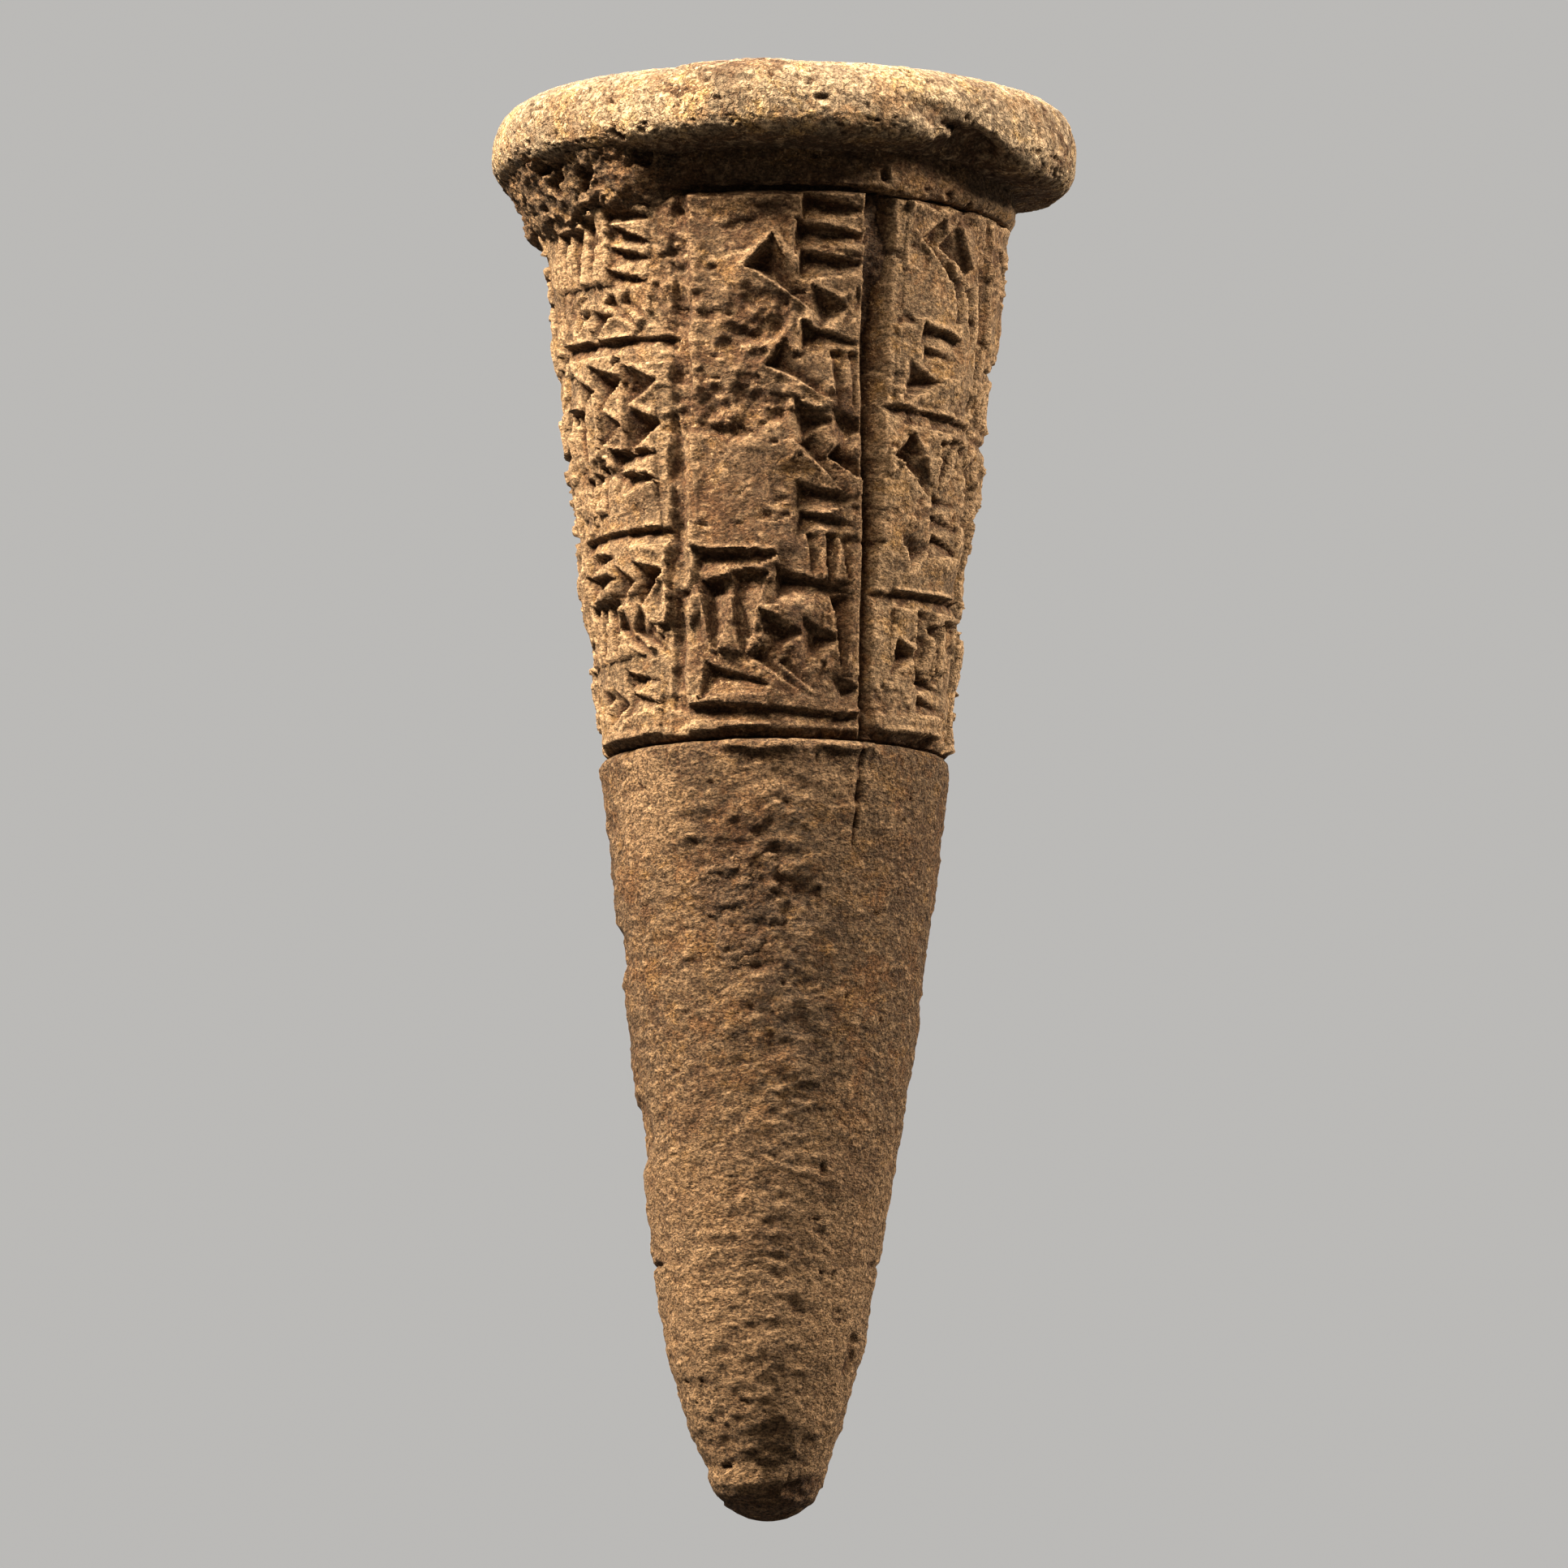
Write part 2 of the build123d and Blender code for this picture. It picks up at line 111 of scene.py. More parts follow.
# Groups of strokes in each strip: kind, count, share of the strip's width from its left ruling, length below
# the field's top, and size. Stakes, slants and hooks stand in a row, and bars lie one above the other.
STRIP_MARKS = (
    (
        ("stakes", 3, 0.28, 4.6, 0.9), ("bars", 4, 0.68, 4.8, 0.8), ("hooks", 2, 0.34, 10.4, 0.8),
        ("slants", 2, 0.68, 10.4, 0.7), ("hooks", 3, 0.46, 16.8, 1.0), ("stakes", 2, 0.18, 21.6, 0.8),
        ("hooks", 2, 0.60, 20.6, 1.0), ("bars", 2, 0.70, 25.6, 0.9), ("stakes", 3, 0.34, 27.4, 0.7),
        ("bars", 2, 0.32, 34.8, 0.9), ("hooks", 2, 0.66, 35.6, 0.9), ("stakes", 3, 0.34, 40.6, 0.9),
        ("slants", 2, 0.72, 41.2, 0.9), ("hooks", 2, 0.30, 46.4, 0.8), ("bars", 2, 0.70, 46.4, 0.9),
    ),
    (
        ("bars", 3, 0.76, 4.6, 1.1), ("slants", 1, 0.56, 9.2, 1.4), ("hooks", 2, 0.82, 10.6, 0.9),
        ("bars", 1, 0.78, 14.2, 1.1), ("stakes", 2, 0.86, 17.6, 0.8), ("slants", 1, 0.64, 17.8, 1.0),
        ("hooks", 2, 0.74, 22.0, 1.0), ("slants", 2, 0.84, 26.0, 1.0), ("bars", 2, 0.76, 30.2, 1.0),
        ("stakes", 3, 0.80, 34.4, 0.7), ("bars", 1, 0.72, 37.6, 1.2), ("bars", 1, 0.30, 34.6, 1.1),
        ("stakes", 2, 0.28, 39.8, 1.2), ("hooks", 2, 0.60, 41.2, 1.0), ("stakes", 1, 0.88, 41.8, 1.0),
        ("slants", 2, 0.60, 45.4, 0.8), ("hooks", 1, 0.86, 46.2, 0.9), ("bars", 1, 0.32, 46.4, 1.2),
    ),
    (
        ("slants", 2, 0.60, 4.8, 1.0), ("stakes", 2, 0.80, 10.6, 0.9), ("bars", 2, 0.54, 14.0, 0.8),
        ("hooks", 1, 0.32, 16.8, 1.0), ("stakes", 3, 0.72, 24.6, 0.7), ("slants", 1, 0.36, 25.8, 1.2),
        ("bars", 3, 0.68, 30.6, 0.8), ("hooks", 1, 0.32, 32.6, 1.0), ("stakes", 3, 0.64, 42.2, 0.9),
        ("hooks", 1, 0.30, 42.8, 0.9), ("bars", 2, 0.62, 46.8, 0.7),
    ),
    (
        ("hooks", 3, 0.50, 4.8, 1.0), ("bars", 3, 0.60, 11.0, 1.0), ("stakes", 2, 0.35, 17.0, 0.9),
        ("bars", 2, 0.55, 24.6, 1.0), ("slants", 2, 0.40, 29.6, 1.0), ("stakes", 3, 0.60, 34.0, 0.8),
        ("hooks", 2, 0.50, 42.0, 1.0), ("bars", 2, 0.50, 47.0, 0.9),
    ),
    (
        ("stakes", 4, 0.50, 4.6, 0.9), ("bars", 3, 0.55, 11.6, 0.9), ("hooks", 3, 0.50, 20.0, 1.0),
        ("slants", 2, 0.40, 25.0, 1.0), ("bars", 2, 0.60, 30.6, 1.0), ("stakes", 3, 0.50, 39.6, 0.9),
        ("hooks", 2, 0.50, 46.0, 1.0),
    ),
    (
        ("bars", 3, 0.45, 5.0, 1.0), ("stakes", 3, 0.55, 11.8, 1.0), ("hooks", 2, 0.50, 19.6, 1.1),
        ("slants", 2, 0.55, 30.0, 1.0), ("bars", 3, 0.50, 37.0, 0.9), ("stakes", 3, 0.50, 45.0, 0.9),
    ),
    (
        ("hooks", 3, 0.50, 4.6, 1.0), ("bars", 2, 0.50, 10.6, 1.0), ("stakes", 3, 0.50, 20.4, 1.0),
        ("slants", 2, 0.45, 27.0, 1.0), ("hooks", 2, 0.55, 32.0, 1.0), ("bars", 2, 0.50, 40.0, 0.9),
        ("stakes", 3, 0.50, 46.0, 0.8),
    ),
    (
        ("bars", 2, 0.50, 4.6, 1.0), ("stakes", 3, 0.50, 11.0, 1.0), ("hooks", 2, 0.50, 18.0, 1.0),
        ("bars", 3, 0.50, 28.0, 0.9), ("slants", 2, 0.50, 35.6, 1.0), ("stakes", 2, 0.50, 46.0, 0.9),
    ),
)

# Angle of each kind of stroke from straight down
TILTS = {"stakes": 0, "bars": 90, "slants": 45, "hooks": 35}

# Where the deepest line of a stroke lies: -1 is one edge of it and 1 the other
STEEP_SIDES = {"stakes": -0.62, "bars": 0.62, "slants": -0.62}

# Depth of cut that places beside every stroke and ruling start from
UNCUT = -3.0

# Worn patches on the front of the field: azimuth and length below the field's top of the middle, reach across
# and down, share of ragged noise in the outline, size of that noise, and its seed
WORN_PATCHES = (
    ((-5, 13.0), (4.6, 4.4), 0.45, 2.6, 36),
    ((-12, 20.5), (7.0, 3.0), 0.5, 2.2, 37),
    ((-27, 10.0), (2.6, 11.0), 0.5, 2.2, 39),
)

# Lights: name, azimuth and elevation in degrees, size in metres, power in watts, and colour
LIGHTS = (
    ("key_left", -64, 47, 0.12, 16.8, (1.0, 0.93, 0.83)),
    ("key_right", 84, 32, 0.15, 9, (1.0, 0.95, 0.88)),
    ("top", -20, 52, 0.2, 4.4, (1.0, 0.94, 0.85)),
    ("back", 178, 34, 0.24, 5, (1.0, 0.96, 0.9)),
)
LIGHT_DISTANCE = 0.6
LIGHT_TARGET = Vector((0, 0, -0.06))
CAMERA_TARGET = Vector((0.00085, 0, -0.0662))


def measure(name, description, default):
    """A setting that is a length in metres."""
    return FloatProperty(
        name=name, description=description, default=default, unit="LENGTH", subtype="DISTANCE",
    )


def tint(name, description, default):
    """A setting that is a colour."""
    return FloatVectorProperty(
        name=name, description=description, default=default, subtype="COLOR", min=0, max=1,
    )


class ConeShape(bpy.types.PropertyGroup):
    """Sizes of the cone's wear and of its hand-made unevenness."""

    rim_sag: measure("Rim sag", "How far the rim hangs lower past its lap", 0.0009)
    rim_wobble: measure("Rim wobble", "How uneven the hand-rolled rim is", 0.0005)
    face_wobble: measure("Face wobble", "How uneven the peg's face is", 0.00028)
    grit: measure("Grit", "Height of the fine granular roughness", 0.00007)


class ConeStrokes(bpy.types.PropertyGroup):
    """Sizes of the strokes that a cut reed presses in the field."""

    length: measure("Stroke length", "Length of a stake, bar or slant of size 1", 0.0068)
    width: measure("Stroke width", "Width of a stroke at its head", 0.0034)
    bite: measure("Stroke depth", "Depth of a stroke at its head", 0.0020)
    hook_length: measure("Hook length", "Length of a hook of size 1", 0.0042)
    hook_width: measure("Hook width", "Width of a hook at its head", 0.0042)
    hook_bite: measure("Hook depth", "Depth of a hook at its head", 0.0022)
    seed: IntProperty(name="Hand", description="Seed of the small slips of the writer's hand", default=7)


class ConeColours(bpy.types.PropertyGroup):
    """Colours of the clay and of what clings to it."""

    head_clay: tint("Head clay", "Body colour of the head", (0.275, 0.192, 0.112))
    field_clay: tint("Field clay", "Body colour of the writing field", (0.175, 0.111, 0.059))
    shaft_clay: tint("Shaft clay", "Body colour of the plain shaft and the tip", (0.134, 0.082, 0.042))
    # The soil colour also paints shade into hollows, on the collar, under the rim, in the gouge and under the
    # nose.
    soil: tint("Soil", "Colour of the soil in the hollows", (0.075, 0.036, 0.016))
    crust: tint("Crust", "Colour of the dark crust on the shaft", (0.095, 0.058, 0.031))
    floor: tint("Floor", "Colour of the plain floor", (0.8, 0.79, 0.77))


class ConeStage(bpy.types.PropertyGroup):
    """Camera and lights."""

    elevation: FloatProperty(
        name="Camera elevation", description="Angle of the camera above the horizon",
        default=math.radians(-7.6), subtype="ANGLE",
    )
    distance: measure("Camera distance", "From the camera to the peg's axis", 1.2)
    view_width: measure("View width", "Width of the view at the peg's axis", 0.1502)
    floor_drop: measure("Floor drop", "How far the floor lies below the top of the head", 2.6)
    backdrop: FloatProperty(
        name="Backdrop", description="Brightness of the pale wall behind the cone", default=0.44,
    )
    room: FloatProperty(
        name="Room", description="Brightness of the room in front of the cone", default=0.19,
    )


def lattice(cells, seed):
    """A steady random number from -1 to 1 for each whole cell."""
    key = cells[:, 0] * 73856093 ^ cells[:, 1] * 19349663 ^ cells[:, 2] * 83492791 ^ seed * 2654435761
    key = (key ^ key >> 13) * 1274126177 & 0xFFFFFFFF
    return ((key ^ key >> 16) & 0xFFFF) / 32767.5 - 1


def lumps(points, size, seed):
    """Smooth noise from about -1 to 1, with lumps of a size in mm; a tuple of sizes stretches them."""
    far_corner = 1000
    place = points / np.asarray(size) + far_corner
    cells = np.floor(place).astype(np.int64)
    share = place - cells
    share = share * share * (3 - 2 * share)
    total = np.zeros(len(points))
    for corner in product((0, 1), repeat=3):
        weight = np.prod(np.where(corner, share, 1 - share), axis=1)
        total += weight * lattice(cells + corner, seed)
    return total


def rough(points, size, seed, octaves=4, fall=0.55):
    """Noise with finer and finer lumps, each fainter than the last."""
    total = np.zeros(len(points))
    height, sum_heights = 1.0, 0.0
    for octave in range(octaves):
        total += height * lumps(points, np.asarray(size) / 2**octave, seed + octave)
        sum_heights += height
        height *= fall
    return total / sum_heights


def step_up(values, low, high):
    """0 below low, 1 above high and a smooth rise between them."""
    share = np.clip((values - low) / (high - low), 0, 1)
    return share * share * (3 - 2 * share)


def round_place(points, centre_x=0.0):
    """Azimuth, depth and distance from the axis of each point."""
    x, y = points[:, 0] - centre_x, points[:, 1]
    return np.degrees(np.arctan2(x, -y)), -points[:, 2], np.hypot(x, y)


def round_from(azimuth, turn, radius):
    """Length round the face from an azimuth to each point, by the shorter way."""
    return np.radians((turn - azimuth + 180) % 360 - 180) * radius


def patch(place, centre, reach, ragged=0):
    """1 at the middle of a patch and 0 outside it; centre is (azimuth, depth) and reach is (across, down)."""
    turn, depth, radius = place
    across = round_from(centre[0], turn, radius) / reach[0]
    down = (depth - centre[1]) / reach[1]
    return 1 - step_up(np.sqrt(across**2 + down**2) + ragged, 0.55, 1.0)


def ruling_azimuth(number, depth):
    """Azimuth of a ruling at a depth; a number past the last one goes on round the cone."""
    turns, place = divmod(number, len(RULINGS))
    top, foot = RULINGS[place]
    return 360 * turns + top + (foot - top) * (depth - FIELD_TOP) / (FIELD_FOOT - FIELD_TOP)


def peg_radius(depth):
    """Radius of the peg's smooth face at a depth, down to where its nose begins."""
    return np.interp(depth, PEG_DEPTHS, PEG_RADII)


def placed(name, data):
    """A new object in the scene."""
    piece = bpy.data.objects.new(name, data)
    bpy.context.scene.collection.objects.link(piece)
    return piece


def modelled(name, bm):
    """A new object whose mesh is the bmesh."""
    mesh = bpy.data.meshes.new(name)
    bm.to_mesh(mesh)
    bm.free()
    return placed(name, mesh)


def arc(centre, radius, first, last, count, cuts_after=0):
    """Corners of an outline along an arc; 0 degrees points outwards and 90 down."""
    angles = np.radians(np.linspace(first, last, count))
    corners = [(centre[0] + radius * math.cos(a), centre[1] + radius * math.sin(a), 0) for a in angles]
    corners[-1] = (*corners[-1][:2], cuts_after)
    return corners


def turned(name, outline, steps, start=-180.0, sweep=360.0, closed=True):
    """A new object: an outline turned round the axis in a few steps, then divided finely and rounded out.

    Each corner of the outline is (radius, depth, cuts), where the cuts divide the edge to the next corner.
    """
    fine_cuts = 3
    merge_gap = 1e-7
    sharp_corner = math.radians(55)
    bm = bmesh.new()
    turn = math.radians(start)
    corners = [
        bm.verts.new((r * math.sin(turn) * MM, -r * math.cos(turn) * MM, -d * MM)) for r, d, _ in outline
    ]
    following = corners[1:] + corners[:1] if closed else corners[1:]
    edges = [bm.edges.new(pair) for pair in zip(corners, following)]
    for edge, (_, _, cuts) in zip(edges, outline):
        if cuts:
            bmesh.ops.subdivide_edges(bm, edges=[edge], cuts=cuts)
    whole = abs(sweep) == 360
    bmesh.ops.spin(
        bm, geom=bm.verts[:] + bm.edges[:], cent=(0, 0, 0), axis=(0, 0, 1), angle=math.radians(sweep),
        steps=steps, use_merge=whole,
    )
    bmesh.ops.subdivide_edges(bm, edges=bm.edges[:], cuts=fine_cuts, use_grid_fill=True)
    bmesh.ops.remove_doubles(bm, verts=bm.verts[:], dist=merge_gap)
    for face in bm.faces:
        face.smooth = True
    if not whole:
        bmesh.ops.holes_fill(bm, edges=[edge for edge in bm.edges if edge.is_boundary], sides=0)
    for edge in bm.edges:
        edge.smooth = edge.calc_face_angle(0) < sharp_corner
    bmesh.ops.recalc_face_normals(bm, faces=bm.faces[:])
    piece = modelled(name, bm)
    half_step = sweep / steps / 2

    def round_out(points):
        off = (np.degrees(np.arctan2(points[:, 0], -points[:, 1])) - start) % (2 * half_step) - half_step
        stretch = np.cos(np.radians(off)) / math.cos(math.radians(half_step))
        return points * np.column_stack((stretch, stretch, np.ones(len(points))))

    move(piece, round_out)
    return piece


def read_points(mesh):
    """The mesh's vertices in mm."""
    flat = np.empty(len(mesh.vertices) * 3)
    mesh.vertices.foreach_get("co", flat)
    return flat.reshape(-1, 3) / MM


def spread(mesh, values, rounds):
    """Values at the vertices, evened out between neighbours."""
    pairs = np.empty(len(mesh.edges) * 2, dtype=np.int64)
    mesh.edges.foreach_get("vertices", pairs)
    first, second = pairs[0::2], pairs[1::2]
    size = len(values)
    near = np.bincount(first, minlength=size) + np.bincount(second, minlength=size)
    for _ in range(rounds):
        around = np.bincount(first, values[second], size) + np.bincount(second, values[first], size)
        values = 0.5 * values + 0.5 * around / near
    return values


def store(mesh, name, values):
    """Keeps one value for each vertex as an attribute that a material can read."""
    layer = mesh.attributes.new(name, "FLOAT", "POINT")
    layer.data.foreach_set("value", np.asarray(values, dtype=np.float32))


def sculpt(piece, field, hollow_scale=0.35, ridge_scale=0.22, straight_to=None):
    """Moves each vertex along its normal by the field's height in mm, and stores its hollows and ridges.

    Down to the depth straight_to it is moved straight out from the axis instead, so that pieces meet.
    """
    blend_length = 10
    near_rounds, wide_rounds = 10, 60
    mesh = piece.data
    points = read_points(mesh)
    normals = np.empty(len(mesh.vertices) * 3)
    mesh.vertex_normals.foreach_get("vector", normals)
    normals = normals.reshape(-1, 3)
    if straight_to is not None:
        outwards = points * (1, 1, 0) / np.maximum(np.hypot(points[:, 0], points[:, 1]), 0.01)[:, None]
        blend = step_up(-points[:, 2], straight_to, straight_to + blend_length)[:, None]
        normals = outwards * (1 - blend) + normals * blend
    heights, soil, *bright = field(points)
    mesh.vertices.foreach_set("co", ((points + normals * heights[:, None]) * MM).ravel())
    near = spread(mesh, heights, near_rounds)
    wide = spread(mesh, near, wide_rounds)
    small, broad = (heights - near) / ridge_scale, (heights - wide) / hollow_scale
    # Hollows get soil colour in the material, and this also paints shade into them.
    hollow_soil_and_shade = np.clip(-small, 0, 1) * 0.5 + np.clip(-broad, 0, 1)
    ridge = np.clip(small, 0, 1) * 0.6 + np.clip(broad, 0, 1) * 0.4
    store(mesh, "hollow_soil_and_shade", np.clip(hollow_soil_and_shade, 0, 1))
    store(mesh, "ridge", np.clip(ridge + sum(bright), 0, 1))
    store(mesh, "soil", np.clip(soil, 0, 1))
    mesh.update()


def move(piece, change):
    """Passes the vertices, in mm, through a function that returns their new places."""
    mesh = piece.data
    mesh.vertices.foreach_set("co", (change(read_points(mesh)) * MM).ravel())
    mesh.update()


def lean(points):
    """The peg's bend to the left towards its tip."""
    moved = points.copy()
    moved[:, 0] += np.interp(-points[:, 2], LEAN_DEPTHS, LEAN_SHIFTS)
    return moved


def sag_rim(points):
    """Lowers the rim's foot on the right, past the place where its two ends are lapped."""
    turn, depth, _ = round_place(points, HEAD_OFFSET)
    moved = points.copy()
    sag = bpy.context.scene.cone_shape.rim_sag / MM
    past_lap = step_up(turn, 44, 60) * (1 - step_up(turn, 105, 150))
    moved[:, 2] -= sag * past_lap * step_up(depth, 2.5, 7.5)
    return moved


def stroke_cut(along, across, length, width, bite, skew):
    """Depth of one stroke: a steep wall on one side, a long sloping floor, and its deepest line at skew."""
    share = np.clip((along + length / 2) / length, 0, 1)
    half = width / 2 * (0.66 + 0.34 * np.exp(-4 * share)) * np.sqrt(np.clip(1 - share, 0.0004, 1))
    deep = bite * (0.6 + 0.4 * np.exp(-3 * share)) * np.sqrt(1 - share)
    line = skew * half
    wall = np.minimum((half - across) / (half - line), (half + across) / (half + line)) * deep
    head = (along + length / 2) * 1.9
    return np.minimum(wall, head)


def hook_cut(along, across, length, width, bite, skew):
    """Depth of one hook: a broad three-sided pit whose floor falls towards its far corner."""
    share = (along + length / 2) / length
    half = width / 2
    reach = share * half * 1.25
    sides = np.minimum(reach - across / (1 + skew), reach + across / (1 - skew)) / half
    far_wall = (1 - share) * length * 1.7
    return np.minimum(np.minimum(sides, share * 1.15) * bite, far_wall)


def field_cuts(turn, depth, radius):
    """Depth of cut of the strokes at places on the writing field."""
    sizes = bpy.context.scene.cone_strokes
    hand = np.random.default_rng(sizes.seed)
    cut = np.full(len(turn), UNCUT)
    for strip, groups in enumerate(STRIP_MARKS):
        for kind, count, share, drop, size in groups:
            hook = kind == "hooks"
            names = ("hook_length", "hook_width", "hook_bite") if hook else ("length", "width", "bite")
            length, width, bite = (getattr(sizes, name) / MM * size for name in names)
            pitch = width * (0.95 if hook else 0.72)
            for n in range(count):
                slip = hand.normal(0, 1, 6)
                step = (n - (count - 1) / 2) * pitch + 0.12 * slip[0]
                centre = FIELD_TOP + drop + (step if kind == "bars" else 0.25 * slip[1])
                left, right = ruling_azimuth(strip, centre), ruling_azimuth(strip + 1, centre)
                middle = left + share * (right - left)
                if kind != "bars":
                    middle += math.degrees(step / peg_radius(centre))
                aim = math.radians(TILTS[kind] + 5 * slip[2])
                reach = length * (1 + 0.10 * slip[3])
                across = round_from(middle, turn, radius)
                down = depth - centre
                near = (np.abs(across) < reach) & (np.abs(down) < reach)
                along = down[near] * math.cos(aim) + across[near] * math.sin(aim)
                aside = -down[near] * math.sin(aim) + across[near] * math.cos(aim)
                shape = hook_cut if hook else stroke_cut
                skew = 0.2 * slip[4] if hook else STEEP_SIDES[kind] + 0.08 * np.clip(slip[4], -2, 2)
                deep = shape(along, aside, reach, width * (1 + 0.08 * slip[5]), bite, skew)
                cut[near] = np.maximum(cut[near], deep)
    return cut


def ruling_cuts(points, turn, depth, radius):
    """Depth of cut of the rulings, the case lines and the ruling at the field's foot."""
    wander = rough(points, 9.0, 61, 2) * 0.35
    chips = rough(points, 2.4, 62, 3)
    cut = np.full(len(turn), UNCUT)
    share = (depth - FIELD_TOP) / (FIELD_FOOT - FIELD_TOP)
    for number in range(len(RULINGS)):
        aside = round_from(ruling_azimuth(number, depth), turn, radius) + wander
        if number == WIDE_RULING:
            half = 1.8 - 1.0 * step_up(share, 0.1, 0.95)
            deep = 2.2 - 1.1 * step_up(share, 0.25, 0.95)
            wall = np.minimum((half - aside) * 1.1, (half + aside) * 3.0)
        else:
            crumbled = 1.0 if number == JAGGED_RULING else 0.25
            half = 0.95 + 0.9 * crumbled * np.abs(chips)
            deep = 1.1 - 0.8 * crumbled * step_up(rough(points, 4.5, 63, 3), -0.2, 0.3)
            wall = np.minimum((half - aside) * 1.0, (half + aside) * 1.4)
        cut = np.maximum(cut, np.minimum(wall, deep))
    for strip, drops in enumerate(CASE_LINES):
        left = ruling_azimuth(strip, depth)
        across = (turn - left) % 360
        wide = (ruling_azimuth(strip + 1, depth) - left) % 360
        for drop in drops:
            slope = 0.9 * math.sin(3 * strip + drop)
            down = depth - FIELD_TOP - drop - slope * (across / wide - 0.5) + wander
            wall = np.minimum((1.1 - down) * 0.65, (0.45 + down) * 2.6)
            line = np.minimum(wall, 0.95)
            cut = np.where(across < wide, np.maximum(cut, line), cut)
    foot = FIELD_FOOT - depth + 1.3 * wander - 0.4 * np.clip(chips, 0, 1)
    cut = np.maximum(cut, np.minimum(0.95 - foot * 1.2, 1.15))
    top = depth - FIELD_TOP + 0.9 * wander - 1.0 * np.clip(chips - 0.05, 0, 1)
    return np.maximum(cut, np.minimum(0.5 - top * 1.2, 0.8))


def scales(points, size, seed):
    """Overlapping scarps, from about -1 to 1: noise whose slopes are gathered into short steep steps."""
    steps = 3.5
    level = steps * rough(points, size, seed, 3)
    tread = np.floor(level)
    return (tread + step_up(level - tread, 0.5, 0.95)) / steps


def soften(cut, edge):
    """A cut with its lip rounded over by wear."""
    return (cut + np.sqrt(cut**2 + edge**2)) / 2


def field_height(points):
    """Height of the writing field's face above the smooth cone."""
    shape = bpy.context.scene.cone_shape
    place = round_place(points)
    turn, depth, radius = place
    outside = radius > peg_radius(depth) - 1.5
    shaky_turn = turn + np.degrees(0.3 * rough(points, 3.4, 46, 3) / radius)
    shaky_depth = depth + 0.3 * rough(points, 3.4, 47, 3)
    strokes = field_cuts(shaky_turn, shaky_depth, radius) * (1 + 0.35 * rough(points, 3.5, 48, 3))
    cut = np.maximum(strokes, ruling_cuts(points, turn, depth, radius))
    edge = 0.20 + 0.12 * rough(points, 5.0, 31, 2)
    lip = 0.42 * np.exp(-((cut / 1.1) ** 2)) * (cut < 0) * (1 + rough(points, 3.0, 44, 2))
    worn = 0.88 + 0.2 * rough(points, 6.0, 32, 3)
    height = lip - soften(cut, np.clip(edge, 0.07, 0.36)) * worn
    height += shape.face_wobble / MM * (1.9 * rough(points, 6.0, 33, 2) + 1.1 * rough(points, 2.6, 45, 3))
    height += shape.grit / MM * (1.1 * rough(points, 1.0, 34, 2) + 0.2 * lumps(points, 0.5, 35))
    eroded = 0
    for (azimuth, drop), reach, ragged, size, seed in WORN_PATCHES:
        worn_patch = patch(place, (azimuth, FIELD_TOP + drop), reach, ragged * rough(points, size, seed, 3))
        eroded = np.maximum(eroded, worn_patch)
    height -= eroded * (0.4 + 0.3 * rough(points, 1.0, 38, 3) + 0.6 * scales(points, (2.2, 2.2, 1.6), 41))
    spalls = step_up(rough(points, (4.6, 4.6, 2.0), 49, 4), 0.24, 0.31)
    height -= 0.26 * spalls
    line = np.abs(depth - FIELD_TOP - 6.0 + 0.035 * (turn + 11) + 0.15 * lumps(points, 3.0, 42))
    scratch = step_up(0.3 - line, 0, 0.2) * step_up(turn, -19, -17) * (1 - step_up(turn, -6, -3))
    height -= 0.12 * scratch
    dusty = step_up(rough(points, 5.0, 40, 3), -0.15, 0.2)
    soil = step_up(cut, 0.6, 1.5) * (0.2 + 0.6 * dusty) + 0.75 * eroded
    soil += 0.6 * step_up(rough(points, 7.0, 43, 4), 0.08, 0.32)
    middle = step_up(turn, -30, -20) * (1 - step_up(turn, 24, 34))
    soil += (0.52 + 0.3 * step_up(depth, 34, 44)) * middle + 0.4 * spalls - 0.9 * scratch
    return np.where(outside, height, 0), soil, 0.9 * scratch


class CONE_OT_writing_field(bpy.types.Operator):
    """Models the carved writing field in a front and a back piece"""

    bl_idname = "cone.writing_field"
    bl_label = "Writing field"

    def execute(self, context):
        inner_wall = 4.0
        wall_top = peg_radius(FIELD_TOP)
        wall_foot = peg_radius(FIELD_FOOT)
        outline = [
            (wall_top - inner_wall, FIELD_TOP, 0),
            (wall_top - 0.3, FIELD_TOP, 0),
            (wall_top, FIELD_TOP + 0.25, 59),
            (wall_foot, FIELD_FOOT - 0.2, 0),
            (wall_foot - 0.4, FIELD_FOOT, 0),
            (wall_foot - inner_wall, FIELD_FOOT, 0),
        ]
        for name, start, sweep, steps in (("field_front", -104, 208, 93), ("field_back", 104, 152, 68)):
            piece = turned(name, outline, steps, start, sweep)
            sculpt(piece, field_height, straight_to=PEG_END)
            dress(piece, "field_clay", "writing_sleeve")
        return {"FINISHED"}


